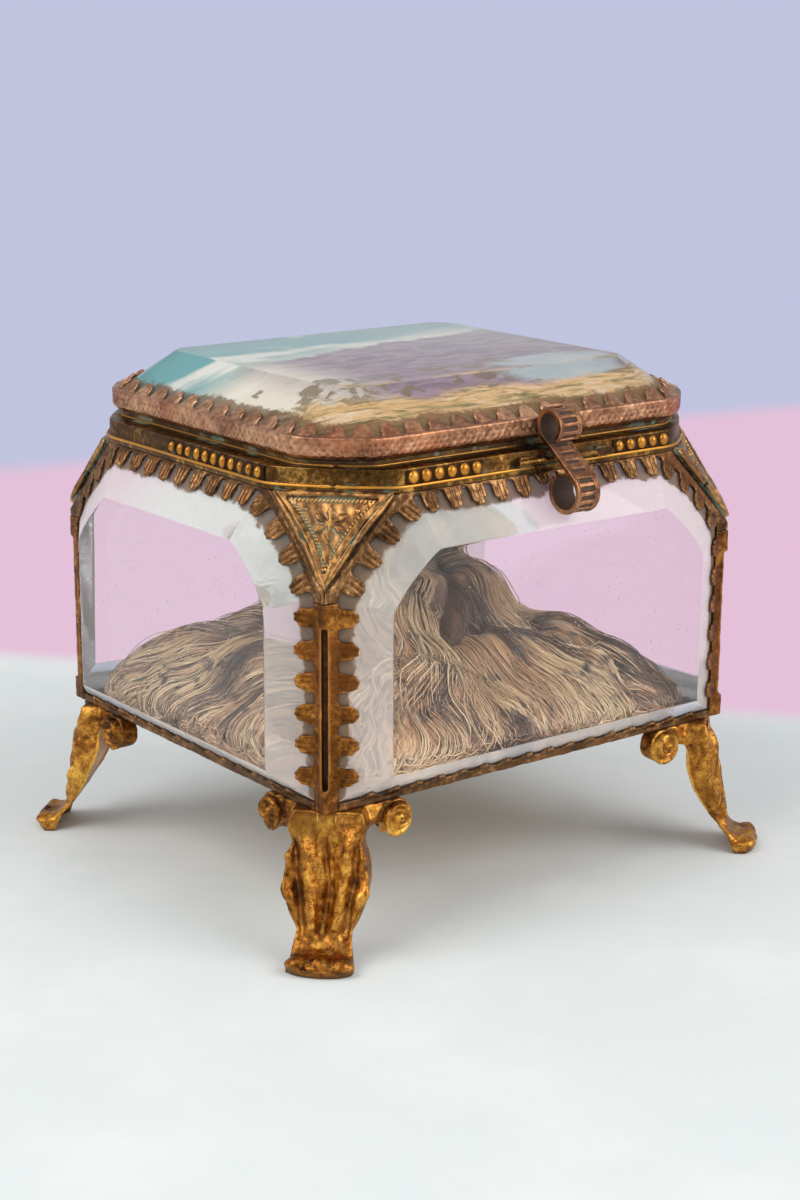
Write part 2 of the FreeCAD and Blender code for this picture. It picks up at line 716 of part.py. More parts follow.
def clasp():
    upper_start = bend - math.pi / 2
    lower_start = bend + math.pi / 2
    upper = curl(clasp_y, clasp_z, curl_up_r, upper_start + 2 * math.pi, math.radians(curl_up_turn))
    lower = curl(low_y, low_z, curl_low_r, lower_start, math.radians(curl_low_turn))
    leave = polar(clasp_y, clasp_z, curl_up_r, upper_start)
    arrive = polar(low_y, low_z, curl_low_r, lower_start)
    along = (arrive - leave).normalize()
    length = (arrive - leave).Length
    bar = Part.makeBox(clasp_w, length, clasp_t, V(-clasp_w / 2, 0, -clasp_t / 2))
    bar = placed(bar, frame(leave + V(clasp_x, 0, 0), V(1, 0, 0), along))
    body = fuse(bar, [upper, lower])
    cuts = []
    for cy, cz, radius, start, turn in (
            (clasp_y, clasp_z, curl_up_r, upper_start + 2 * math.pi, curl_up_turn),
            (low_y, low_z, curl_low_r, lower_start, curl_low_turn)):
        outside = radius + clasp_t / 2
        count = int(math.radians(turn) * outside / rung_pitch)
        for i in range(count):
            angle = start - math.radians(turn) * (i + 0.5) / count
            point = polar(cy, cz, outside, angle)
            cuts.append(rung(point, (point - V(0, cy, cz)).normalize()))
    return body.cut(Part.makeCompound(cuts))


def clasp_cradle():
    """Half shell on the lid rim in which the upper curl turns."""
    inner = curl_up_out + cradle_clear
    outer = inner + cradle_t
    x0 = clasp_x - cradle_w / 2
    tube = Part.makeCylinder(outer, cradle_w, clasp_axis + V(x0, 0, 0), V(1, 0, 0))
    hole = Part.makeCylinder(inner, cradle_w, clasp_axis + V(x0, 0, 0), V(1, 0, 0))
    keep = math.cos(math.radians(cradle_wrap)) * inner
    room = box(x0, x0 + cradle_w, clasp_y + keep, -lid_hd - fit, z_lid + fit, z_lid_top + lid_rim_h)
    block = box(x0, x0 + cradle_w, clasp_y + inner, -lid_hd - fit, z_lid + fit, z_lid_top)
    return fuse(tube, [block]).common(room).cut(hole)


def catch_wire():
    y = -hd - ledge_out - wire_r
    z = z_band + wire_up
    wire = Part.makeCylinder(wire_r, wire_len, V(wire_x0, y, z), V(1, 0, 0))
    seats = []
    for start in (wire_x0 + wire_r, wire_x0 + wire_len - wire_r - solder_w):
        low = max(z - solder_h / 2, z_band + ledge_h + fit)
        seats.append(box(start, start + solder_w, y, -hd - fit, low, z + solder_h / 2))
    return fuse(wire, seats)


# foot of the corner at -X, -Y: the leg is the side profile and the leaf outline cut from one block

def leg_side(proud):
    """Side outline in the diagonal plane: first axis outward from the corner, second axis up."""
    top_out = -foot_in + proud
    ankle = ankle_out + proud
    start = V(top_out, 0, leg_h - fit)
    knee = V(top_out + (ankle - top_out) * 0.42, 0, leg_h - (leg_h - ankle_z) * 0.5)
    heel = V(ankle, 0, ankle_z)
    tip = V(toe_out, 0, toe_t + proud)
    sole = V(toe_out - toe_t / 4, 0, 0)
    pad = V(sole.x - toe_pad, 0, 0)
    back = V(ankle_out - ankle_t, 0, ankle_z + ankle_t / 2)
    shin = V(-foot_in - leg_t, 0, leg_h - (leg_h - ankle_z) * 0.42)
    rear = V(-foot_in - leg_t, 0, leg_h - fit)
    hollow = (heel + tip) * 0.5 - V(0.35, 0, 0.5)
    arch = (pad + back) * 0.5 - V(0.2, 0, -0.3)
    calf = (back + shin) * 0.5 - V(0.5, 0, 0.2)
    return Part.Face(Part.Wire([
        Part.Arc(start, knee, heel).toShape(),
        Part.Arc(heel, hollow, tip).toShape(),
        line(tip, sole),
        line(sole, pad),
        Part.Arc(pad, arch, back).toShape(),
        Part.Arc(back, calf, shin).toShape(),
        line(shin, rear),
        line(rear, start)]))


def leg_front():
    """Leaf outline across the diagonal: first axis across, second axis up."""
    halves = []
    for side in (1, -1):
        top = V(0, side * leg_w / 2, leg_h)
        waist = V(0, side * waist_w / 2, waist_z)
        shoulder = V(0, side * (leg_w / 2 + 0.7), (leg_h + waist_z) / 2)
        knee = V(0, side * knee_w / 2, knee_z)
        ankle = V(0, side * ankle_w / 2, ankle_z)
        toe = V(0, side * toe_w / 2, 0)
        halves.append([
            Part.Arc(top, shoulder, waist).toShape(),
            Part.Arc(waist, knee, ankle).toShape(),
            line(ankle, toe)])
    right, left = halves
    bottom = line(right[-1].Vertexes[-1].Point, left[-1].Vertexes[-1].Point)
    ceiling = line(left[0].Vertexes[0].Point, right[0].Vertexes[0].Point)
    return Part.Face(Part.Wire(Part.__sortEdges__(right + [bottom] + left + [ceiling])))


def foot():
    reach = 2 * (toe_out + leg_t + foot_in)
    side = leg_side(0)
    side.translate(V(0, -knee_w, 0))
    leaf = leg_front()
    leaf.translate(V(-reach, 0, 0))
    leg = side.extrude(V(0, 2 * knee_w, 0)).common(leaf.extrude(V(2 * reach, 0, 0)))
    rib = leg_side(rib_out)
    rib.translate(V(0, -rib_w / 2, 0))
    rib = rib.extrude(V(0, rib_w, 0))
    rib = rib.cut(box(-reach, reach, -rib_w, rib_w, -1, ankle_z))
    leg = fuse(leg, [rib])
    leg = leg.common(box(-reach, reach, -reach, reach, 0, leg_h - fit))
    leg.rotate(V(0, 0, 0), UP, 225)
    leg.translate(V(-hw, -hd, 0))
    return fuse(leg, arm_and_ear())


def arm_and_ear():
    pieces = []
    top = leg_h - fit
    ear_z = top - ear_r
    arm = box(strip_w / 2, arm_len, 0, arm_t, top - arm_h, top)
    ear = Part.makeCylinder(ear_r, ear_t, V(arm_len, -ear_out, ear_z), V(0, 1, 0))
    along_x = fuse(arm, [ear])
    along_y = along_x.mirror(V(0, 0, 0), V(1, -1, 0))
    for piece in (along_x, along_y):
        piece.translate(V(-hw, -hd, 0))
        pieces.append(piece)
    return pieces


# cushion: crowned pad with drawn-in sides and pressed tufts

def pad_section(inset, z):
    half_x = pad_w / 2 - inset
    half_y = pad_d / 2 - inset
    corner = min(pad_corner, half_x / 2, half_y / 2)
    points = []
    for turn, (sx, sy) in enumerate(((1, 1), (-1, 1), (-1, -1), (1, -1))):
        centre = V(sx * (half_x - corner), sy * (half_y - corner), z)
        for i in range(pad_chords + 1):
            angle = math.pi / 2 * (turn + i / pad_chords)
            points.append(centre + V(corner * math.cos(angle), corner * math.sin(angle), 0))
    return points


def cushion():
    z0 = leg_h + bottom_rail_h + pad_gap
    sections = [
        pad_section(pad_tuck, z0),
        pad_section(0, z0 + pad_belly),
        pad_section(pad_rim_in, z0 + pad_rim),
        pad_section(pad_slope_in, z0 + pad_slope),
        pad_section(pad_mid_in, z0 + pad_mid),
        pad_section(pad_top_in, z0 + pad_top),
        pad_section(pad_crown_in, z0 + pad_crown)]
    pad = skin(sections)
    tufts = []
    for sx in (-1, 0, 1):
        for sy in (-1, 1):
            x = sx * tuft_x
            y = sy * tuft_y
            tip = V(x, y, z0 + tuft_up - tuft_depth)
            button = ngon(tip, tuft_button, tuft_sides, V(1, 0, 0), V(0, 1, 0))
            mouth = ngon(tip + UP * tuft_h, tuft_r, tuft_sides, V(1, 0, 0), V(0, 1, 0))
            tufts.append(skin([button, mouth]))
    return pad.cut(Part.makeCompound(tufts))


def base_plate():
    half_x = hw - bottom_rail_t - fit
    half_y = hd - bottom_rail_t - fit
    z0 = leg_h + bottom_rail_h - base_t
    return Part.Face(octagon(half_x, half_y, strip_w, fit, z0)).extrude(UP * base_t)


def mirrored_x(shape):
    return shape.mirror(V(0, 0, 0), V(1, 0, 0))


def mirrored_y(shape):
    return shape.mirror(V(0, 0, 0), V(0, 1, 0))


def turned(shape):
    """From the front to the left side."""
    copy = shape.copy()
    copy.rotate(V(0, 0, 0), UP, -90)
    return copy


def four_corners(name, shape):
    nodes[name + "_fl"] = shape
    nodes[name + "_fr"] = mirrored_x(shape)
    nodes[name + "_bl"] = mirrored_y(shape)
    nodes[name + "_br"] = mirrored_x(mirrored_y(shape))


def four_sides(name, maker):
    front = maker(hw, -hd)
    left = turned(maker(hd, -hw))
    nodes[name + "_front"] = front
    nodes[name + "_back"] = mirrored_y(front)
    nodes[name + "_left"] = left
    nodes[name + "_right"] = mirrored_x(left)


four_sides("pane", pane)
four_sides("top_rail", top_rail)
nodes["top_rail_front"] = top_rail(hw, -hd, True)
four_sides("bottom_rail", bottom_rail)
four_corners("corner_post", corner_post())
four_corners("spandrel", spandrel())
four_corners("foot", foot())

side_beads = turned(bead_strip(band_end_y - bead_count_side * bead_pitch, bead_count_side, -hw))
nodes["bead_strip_front_left"] = bead_strip(-band_end_x, bead_count_left, -hd)
nodes["bead_strip_front_right"] = bead_strip(beads_right_end, bead_count_right, -hd)
nodes["bead_strip_left"] = side_beads
nodes["bead_strip_right"] = mirrored_x(side_beads)

nodes["top_frame"] = top_frame()
nodes["base_plate"] = base_plate()
nodes["cushion"] = cushion()
nodes["hinge_leaf_body"] = hinge_leaf_body()
nodes["hinge_pin"] = hinge_pin()
nodes["catch_wire"] = catch_wire()
nodes["lid_rim"] = lid_rim()
nodes["lid_glass"] = lid_glass()
nodes["lid_print"] = lid_print()
nodes["hinge_leaf_lid"] = hinge_leaf_lid()
nodes["clasp_cradle"] = clasp_cradle()
nodes["clasp"] = clasp()

os.makedirs("parts", exist_ok=True)
for name, shape in nodes.items():
    shape.exportStep("parts/" + name + ".step")
    size = shape.BoundBox
    print(name, len(shape.Solids), shape.isValid(), "%.1f %.1f %.1f  %.1f %.1f %.1f" % (
        size.XMin, size.YMin, size.ZMin, size.XMax, size.YMax, size.ZMax))
print("hinge axis", hinge_y, hinge_z, "clasp axis", clasp_x, clasp_y, clasp_z)
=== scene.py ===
"""Footed trinket casket: worn gilt brass, bevelled glass, a picture under the lid glass and a silk pad."""

import logging
import math
import random
from dataclasses import dataclass, field
from enum import Enum
from typing import Optional, Sequence

import bmesh
import bpy
import numpy as np
from mathutils import Matrix, Vector
from mathutils.bvhtree import BVHTree


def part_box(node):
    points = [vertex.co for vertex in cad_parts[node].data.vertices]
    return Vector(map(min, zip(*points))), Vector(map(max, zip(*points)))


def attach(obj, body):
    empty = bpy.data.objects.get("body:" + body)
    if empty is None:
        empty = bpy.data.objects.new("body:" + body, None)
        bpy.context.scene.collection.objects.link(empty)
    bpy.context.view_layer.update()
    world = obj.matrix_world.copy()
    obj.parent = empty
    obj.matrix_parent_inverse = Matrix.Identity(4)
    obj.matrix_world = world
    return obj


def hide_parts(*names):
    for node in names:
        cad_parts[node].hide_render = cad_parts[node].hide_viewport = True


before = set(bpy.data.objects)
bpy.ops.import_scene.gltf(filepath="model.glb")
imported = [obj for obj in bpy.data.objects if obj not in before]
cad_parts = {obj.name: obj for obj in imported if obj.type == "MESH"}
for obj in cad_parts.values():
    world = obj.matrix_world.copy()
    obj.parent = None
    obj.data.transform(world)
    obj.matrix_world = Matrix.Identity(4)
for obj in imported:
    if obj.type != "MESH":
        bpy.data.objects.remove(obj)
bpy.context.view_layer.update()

LOG = logging.getLogger("casket")
MM = 0.001
TINY = 1e-9
WELD = 2e-6
DIAGONAL = 0.7071
FLAT_ANGLE = 0.3
METAL_ANGLE = 32.0
GLASS_ANGLE = 14.0
SOFT_STEP = 0.5
NO_GRIME = 2.0
TIP_SIZE = 0.35
TIP_GROWTH = 0.4
RIPPLE_WAVES = 5
RIPPLE_SPREAD = (0.6, 1.5)
RIPPLE_PHASE = 6.3
RIPPLE_CALM = 2.4
HAMMERING = ((3.2 * MM, 0.6), (1.3 * MM, 0.4))

Color = tuple[float, float, float]
Place = tuple[float, float, float]
Stops = Sequence[tuple[float, Color]]
Path = list[tuple[Vector, Vector]]


def tone(red: int, green: int, blue: int) -> Color:
    """Scene colour of a paint chip given in 0 to 255 steps.

    Args:
        red: Red step.
        green: Green step.
        blue: Blue step.

    Returns:
        The same colour in the scene's linear values.
    """
    parts = [value / 255.0 for value in (red, green, blue)]
    linear = [p / 12.92 if p <= 0.04045 else ((p + 0.055) / 1.055) ** 2.4 for p in parts]
    return linear[0], linear[1], linear[2]


class Body(Enum):
    """Moving bodies of the casket."""

    CASKET = "casket"
    LID = "lid"
    CLASP = "clasp"


class Slot(Enum):
    """Finishes named in the record."""

    GALLERY = "gallery_brass"
    BAND = "band_brass"
    FOOT = "foot_brass"
    LID = "lid_brass"
    BASE = "base_brass"
    PANE = "pane_glass"
    LID_GLASS = "lid_glass"
    PRINT = "lid_print"
    SILK = "silk"


class Corner(Enum):
    """Corners of the casket, with the signs of their X and Y."""

    FL = (-1, -1)
    FR = (1, -1)
    BL = (-1, 1)
    BR = (1, 1)

    @property
    def tag(self) -> str:
        """Ending of the names of this corner's pieces."""
        return self.name.lower()


class Side(Enum):
    """Upright sides of the casket, with their outward directions."""

    FRONT = (0, -1)
    BACK = (0, 1)
    LEFT = (-1, 0)
    RIGHT = (1, 0)

    @property
    def tag(self) -> str:
        """Ending of the names of this side's pieces."""
        return self.name.lower()


class Graph:
    """Shader graph of one finish, with short calls for the nodes that the finishes share."""

    def __init__(self, name: str) -> None:
        """Starts an empty graph.

        Args:
            name: Name of the finish.
        """
        self.material = bpy.data.materials.new(name)
        self.material.use_nodes = True
        self.tree = self.material.node_tree
        self.tree.nodes.clear()
        self.place = self.node("ShaderNodeTexCoord").outputs["Object"]

    def node(self, kind: str, **settings: object) -> bpy.types.Node:
        """Adds one node.

        Args:
            kind: Blender's name of the node.
            settings: Attributes set on it.

        Returns:
            The node.
        """
        made = self.tree.nodes.new(kind)
        for key, value in settings.items():
            setattr(made, key, value)
        return made

    def feed(self, socket: bpy.types.NodeSocket, value: object) -> None:
        """Sets a socket to a constant, or links it to another node.

        Args:
            socket: Input to fill.
            value: Number, colour or output socket.
        """
        if isinstance(value, bpy.types.NodeSocket):
            self.tree.links.new(value, socket)
        elif isinstance(value, tuple) and len(value) == 3 and socket.type == "RGBA":
            socket.default_value = (*value, 1.0)
        else:
            socket.default_value = value

    def stretched(self, scale: tuple[float, float, float]) -> bpy.types.NodeSocket:
        """Place on the object, stretched along the axes.

        Args:
            scale: Factor along each axis.

        Returns:
            The stretched place.
        """
        made = self.node("ShaderNodeMapping")
        self.feed(made.inputs["Vector"], self.place)
        made.inputs["Scale"].default_value = scale
        return made.outputs["Vector"]

    def noise(self, scale: float, detail: float = 4.0, rough: float = 0.55, distort: float = 0.0,
              place: Optional[bpy.types.NodeSocket] = None) -> bpy.types.NodeSocket:
        """Soft mottling.

        Args:
            scale: Repeats per metre.
            detail: Octaves.
            rough: Weight of the fine octaves.
            distort: Swirl.
            place: Coordinates, or None for the object's own.

        Returns:
            Value from 0 to 1.
        """
        made = self.node("ShaderNodeTexNoise")
        self.feed(made.inputs["Vector"], place or self.place)
        for key, value in (("Scale", scale), ("Detail", detail), ("Roughness", rough), ("Distortion", distort)):
            made.inputs[key].default_value = value
        return made.outputs["Fac"]

    def cells(self, scale: float, place: Optional[bpy.types.NodeSocket] = None,
              feature: str = "F1") -> bpy.types.NodeSocket:
        """Distance to the nearest of many scattered points.

        Args:
            scale: Points per metre.
            place: Coordinates, or None for the object's own.
            feature: Kind of distance.

        Returns:
            Distance in cells.
        """
        made = self.node("ShaderNodeTexVoronoi", feature=feature)
        self.feed(made.inputs["Vector"], place or self.place)
        made.inputs["Scale"].default_value = scale
        return made.outputs["Distance"]

    def ramp(self, value: bpy.types.NodeSocket, stops: Stops) -> bpy.types.NodeSocket:
        """Colour scale.

        Args:
            value: Place on the scale, 0 to 1.
            stops: Positions and colours.

        Returns:
            The colour.
        """
        made = self.node("ShaderNodeValToRGB")
        self.feed(made.inputs["Fac"], value)
        points = made.color_ramp.elements
        while len(points) < len(stops):
            points.new(0.5)
        for point, (position, colour) in zip(points, stops):
            point.position = position
            point.color = (*colour, 1.0)
        return made.outputs["Color"]

    def calc(self, operation: str, first: object, second: object = 0.0,
             clamp: bool = False) -> bpy.types.NodeSocket:
        """One step of arithmetic.

        Args:
            operation: Blender's name of it.
            first: First value.
            second: Second value.
            clamp: Whether the result stays within 0 and 1.

        Returns:
            The result.
        """
        made = self.node("ShaderNodeMath", operation=operation, use_clamp=clamp)
        self.feed(made.inputs[0], first)
        self.feed(made.inputs[1], second)
        return made.outputs["Value"]

    def times(self, first: object, second: object, clamp: bool = False) -> bpy.types.NodeSocket:
        """Product of two values."""
        return self.calc("MULTIPLY", first, second, clamp)

    def plus(self, first: object, second: object, clamp: bool = False) -> bpy.types.NodeSocket:
        """Sum of two values."""
        return self.calc("ADD", first, second, clamp)

    def less(self, first: object, second: object, clamp: bool = False) -> bpy.types.NodeSocket:
        """First value less the second."""
        return self.calc("SUBTRACT", first, second, clamp)

    def sway(self, value: bpy.types.NodeSocket, size: float, middle: float = 0.5) -> bpy.types.NodeSocket:
        """Value as a swing of a given size about its middle."""
        return self.times(self.less(value, middle), size)

    def between(self, value: bpy.types.NodeSocket, low: float, high: float,
                smooth: bool = True) -> bpy.types.NodeSocket:
        """Mask that rises from 0 to 1.

        Args:
            value: Value to read.
            low: Where the mask is 0.
            high: Where the mask is 1.
            smooth: Whether it eases in and out.

        Returns:
            The mask.
        """
        made = self.node("ShaderNodeMapRange", interpolation_type="SMOOTHSTEP" if smooth else "LINEAR")
        self.feed(made.inputs["Value"], value)
        made.inputs["From Min"].default_value = low
        made.inputs["From Max"].default_value = high
        return made.outputs["Result"]

    def mix(self, share: object, first: object, second: object) -> bpy.types.NodeSocket:
        """Mix of two colours.

        Args:
            share: Share of the second.
            first: First colour.
            second: Second colour.

        Returns:
            The colour.
        """
        made = self.node("ShaderNodeMix", data_type="RGBA", blend_type="MIX")
        self.feed(made.inputs[0], share)
        self.feed(made.inputs[6], first)
        self.feed(made.inputs[7], second)
        return made.outputs[2]

    def hollow(self, reach: float, inside: bool = False) -> bpy.types.NodeSocket:
        """How deep a point lies in a hollow, or on an edge if looked at from inside.

        Args:
            reach: Size of the hollows, in metres.
            inside: Whether edges are looked for.

        Returns:
            Value from 0 in the open to 1.
        """
        made = self.node("ShaderNodeAmbientOcclusion", samples=4, inside=inside, only_local=inside)
        made.inputs["Distance"].default_value = reach
        return self.less(1.0, made.outputs["AO"])

    def stored(self, name: str) -> bpy.types.NodeSocket:
        """Value kept on the mesh under a name."""
        return self.node("ShaderNodeAttribute", attribute_name=name).outputs["Fac"]

    def bump(self, height: bpy.types.NodeSocket, depth: float, strength: float = 1.0,
             under: Optional[bpy.types.NodeSocket] = None) -> bpy.types.NodeSocket:
        """Fine relief.

        Args:
            height: Height from 0 to 1.
            depth: Depth in metres.
            strength: How strongly it shows.
            under: Relief below it.

        Returns:
            The normal.
        """
        made = self.node("ShaderNodeBump")
        made.inputs["Strength"].default_value = strength
        made.inputs["Distance"].default_value = depth
        self.feed(made.inputs["Height"], height)
        if under is not None:
            self.feed(made.inputs["Normal"], under)
        return made.outputs["Normal"]

    def surface(self, **inputs: object) -> bpy.types.NodeSocket:
        """Main surface shader.

        Args:
            inputs: Its inputs, with underscores for spaces.

        Returns:
            The shader.
        """
        made = self.node("ShaderNodeBsdfPrincipled")
        for key, value in inputs.items():
            self.feed(made.inputs[key.replace("_", " ")], value)
        return made.outputs["BSDF"]

    def blended(self, share: object, first: bpy.types.NodeSocket,
                second: bpy.types.NodeSocket) -> bpy.types.NodeSocket:
        """Mix of two shaders.

        Args:
            share: Share of the second.
            first: First shader.
            second: Second shader.

        Returns:
            The shader.
        """
        made = self.node("ShaderNodeMixShader")
        self.feed(made.inputs[0], share)
        self.feed(made.inputs[1], first)
        self.feed(made.inputs[2], second)
        return made.outputs[0]

    def close(self, shader: bpy.types.NodeSocket) -> bpy.types.Material:
        """Ends the graph.

        Args:
            shader: Shader of the surface.

        Returns:
            The finished material.
        """
        made = self.node("ShaderNodeOutputMaterial")
        self.feed(made.inputs["Surface"], shader)
        return self.material


@dataclass(frozen=True)
class BrassFinish:
    """Old gilt brass: bright worn edges with a painted highlight, patina, dirt with painted shade and green salts
    in the hollows, pits and punch marks.
    """

    name: str
    gold: Color
    body: Color
    dark: Color
    blush: Color
    brown: float = 0.5
    green: float = 0.2
    rough: float = 0.3
    pits: float = 0.5
    wear: float = 0.6
    grain: float = 0.3
    spread: float = 0.16
    salts: Color = tone(142, 178, 160)
    # Soot colour for pits and marks, also used for the painted shade in hollows.
    soot: Color = tone(34, 22, 12)
    broad_scale: float = 150.0
    fine_scale: float = 1000.0
    blush_scale: float = 75.0
    pit_scale: float = 2600.0
    pit_patch_scale: float = 420.0
    salt_scale: float = 240.0
    edge_reach: float = 0.5 * MM
    hollow_reach: float = 1.6 * MM
    fine_depth: float = 0.16 * MM
    pit_depth: float = 0.14 * MM
    blush_share: float = 0.7
    soot_and_shade_share: float = 0.94
    salt_share: float = 0.85

    def material(self) -> bpy.types.Material:
        """Builds the finish.

        Returns:
            Material for pieces of this metal.
        """
        g = Graph(self.name)
        broad = g.noise(self.broad_scale, 3, 0.6, 0.6)
        fine = g.noise(self.fine_scale, 5, 0.7)
        mottle = g.plus(g.times(broad, 0.5), g.times(fine, 0.5))
        middle = 0.34 + 0.3 * self.brown
        base = g.ramp(mottle, (
            (middle - self.spread, self.dark), (middle, self.body), (middle + self.spread, self.gold)))
        flush = g.between(g.noise(self.blush_scale, 2), 0.48, 0.66)
        base = g.mix(g.times(flush, self.blush_share), base, self.blush)
        # Edges rubbed bright, with a painted highlight laid along them.
        edge = g.between(g.hollow(self.edge_reach, True), 0.35, 0.8)
        base = g.mix(g.times(edge, self.wear, True), base, self.gold)
        # Painted shade with dirt: darker the deeper a point lies in a hollow, broken up by the fine mottling.
        deep = g.hollow(self.hollow_reach)
        hollow_dirt_and_shade = g.times(g.between(deep, 0.22, 0.7), g.between(fine, 0.15, 0.58))
        spots = g.cells(self.pit_scale)
        pit = g.times(g.between(spots, 0.34, 0.14), g.between(g.noise(self.pit_patch_scale, 3), 0.46, 0.6))
        pit = g.times(pit, self.pits)
        # Soot in pits and punch marks, with painted shade in the hollows and, on the clasp, inside its curls.
        black = g.calc("MAXIMUM", g.calc("MAXIMUM", hollow_dirt_and_shade, pit), g.stored("punch"))
        base = g.mix(g.times(black, self.soot_and_shade_share), base, self.soot)
        taken = 0.3 * self.green
        patch = g.between(g.noise(self.salt_scale, 4, 0.6, 0.6), 0.66 - taken, 0.78 - taken)
        salt = g.times(patch, g.between(deep, 0.2, 0.6))
        salt = g.times(salt, min(1.0, 3.0 * self.green), True)
        base = g.mix(g.times(salt, self.salt_share), base, self.salts)
        dull = g.calc("MAXIMUM", salt, black)
        metal = g.less(1.0, g.times(dull, 0.92), True)
        gloss = g.plus(self.rough, g.sway(fine, 0.5, 0.45))
        gloss = g.plus(gloss, g.times(dull, 0.4), True)
        normal = g.bump(fine, self.fine_depth, self.grain)
        normal = g.bump(g.between(spots, 0.12, 0.34), self.pit_depth, 0.6 * self.pits, normal)
        return g.close(g.surface(Base_Color=base, Metallic=metal, Roughness=gloss, Normal=normal))


@dataclass(frozen=True)
class GlassFinish:
    """Ground and polished plate glass with dust, fine scratches and grime under the prongs, and a pale film of
    painted reflection on bevels and of painted highlight on arrises.
    """

    name: str
    tint: Color = (0.995, 1.0, 0.998)
    dust: float = 0.5
    painted_reflection: float = 0.0
    painted_reflection_tone: Color = tone(226, 226, 220)
    facet_reflections: Stops = ()
    milk: float = 0.2
    index: float = 1.47
    grime: Color = tone(130, 94, 54)
    grime_deep: Color = tone(60, 41, 22)
    grime_from: float = NO_GRIME
    grime_share: float = 0.75
    grime_fade: float = 0.08
    grime_depth: float = 0.4
    soil_scale: float = 700.0
    ragged_scale: float = 1100.0
    ragged: float = 0.24
    patch_scale: float = 170.0
    patch: float = 0.4
    smear_scale: float = 160.0
    smear_rough: float = 0.035
    speck_scale: float = 700.0
    speck_patch_scale: float = 130.0
    lint_scale: float = 90.0
    lint_stretch: Place = (14.0, 3.0, 9.0)
    lint_patch_scale: float = 210.0
    reflection_film_share: float = 0.75
    reflection_cloud_share: float = 0.1
    cloud_least: float = 0.012
    shadow: Color = (0.97, 0.975, 0.97)

    def soiled(self, g: Graph, body: bpy.types.NodeSocket) -> bpy.types.NodeSocket:
        """Lays brown, ragged grime over the rim of the glass.

        Args:
            g: Graph of the finish.
            body: Shader of the clean glass.

        Returns:
            The shader.
        """
        rim = g.stored("rim")
        depth = g.between(rim, self.grime_from, self.grime_from + self.grime_depth)
        mottled = g.plus(g.times(g.noise(self.soil_scale, 3), 0.7), g.times(depth, 0.5), True)
        soil = g.surface(Base_Color=g.mix(mottled, self.grime, self.grime_deep), Roughness=0.8)
        uneven = g.sway(g.noise(self.ragged_scale, 5, 0.75), self.ragged)
        patchy = g.sway(g.noise(self.patch_scale, 3), self.patch)
        reach = g.plus(rim, g.plus(uneven, patchy))
        share = g.between(reach, self.grime_from, self.grime_from + self.grime_fade)
        return g.blended(g.times(share, self.grime_share), body, soil)

    def material(self) -> bpy.types.Material:
        """Builds the finish.

        Returns:
            Material for panes of this glass.
        """
        g = Graph(self.name)
        smear = g.noise(self.smear_scale, 5, 0.7, 1.0)
        rough = g.times(g.between(smear, 0.5, 0.85), self.smear_rough)
        clear = g.surface(Base_Color=self.tint, Roughness=rough, IOR=self.index, Transmission_Weight=1.0)
        # Painted reflection: a pale film on bevels and arrises standing in for what they reflect and refract,
        # toned by which way each face looks; on arrises it is a painted highlight.
        reflection_tone = g.ramp(g.stored("facet"), self.facet_reflections) if self.facet_reflections else self.painted_reflection_tone
        glow = g.node("ShaderNodeBsdfTranslucent")
        g.feed(glow.inputs["Color"], reflection_tone)
        reflection_film = g.blended(self.milk, g.surface(Base_Color=reflection_tone, Roughness=0.7), glow.outputs[0])
        specks = g.between(g.cells(self.speck_scale), 0.13, 0.07)
        specks = g.times(specks, g.between(g.noise(self.speck_patch_scale, 2), 0.48, 0.62))
        lint = g.cells(self.lint_scale, g.stretched(self.lint_stretch), "DISTANCE_TO_EDGE")
        lint_patch = g.between(g.noise(self.lint_patch_scale, 2), 0.6, 0.68)
        lint = g.times(g.between(lint, 0.012, 0.0), lint_patch)
        haze = g.times(g.calc("MAXIMUM", specks, lint), self.dust)
        # Smudgy clouds, a little on all glass and more with the painted reflection; the haze share mixes dust,
        # clouds and the painted reflection film over clear glass.
        cloud = g.times(g.between(smear, 0.35, 0.8), self.cloud_least + self.reflection_cloud_share * self.painted_reflection)
        haze = g.plus(haze, g.plus(cloud, self.reflection_film_share * self.painted_reflection), True)
        body = g.blended(haze, clear, reflection_film)
        if self.grime_from < NO_GRIME:
            body = self.soiled(g, body)
        through = g.node("ShaderNodeBsdfTransparent")
        g.feed(through.inputs["Color"], self.shadow)
        path = g.node("ShaderNodeLightPath").outputs["Is Shadow Ray"]
        return g.close(g.blended(path, body, through.outputs[0]))


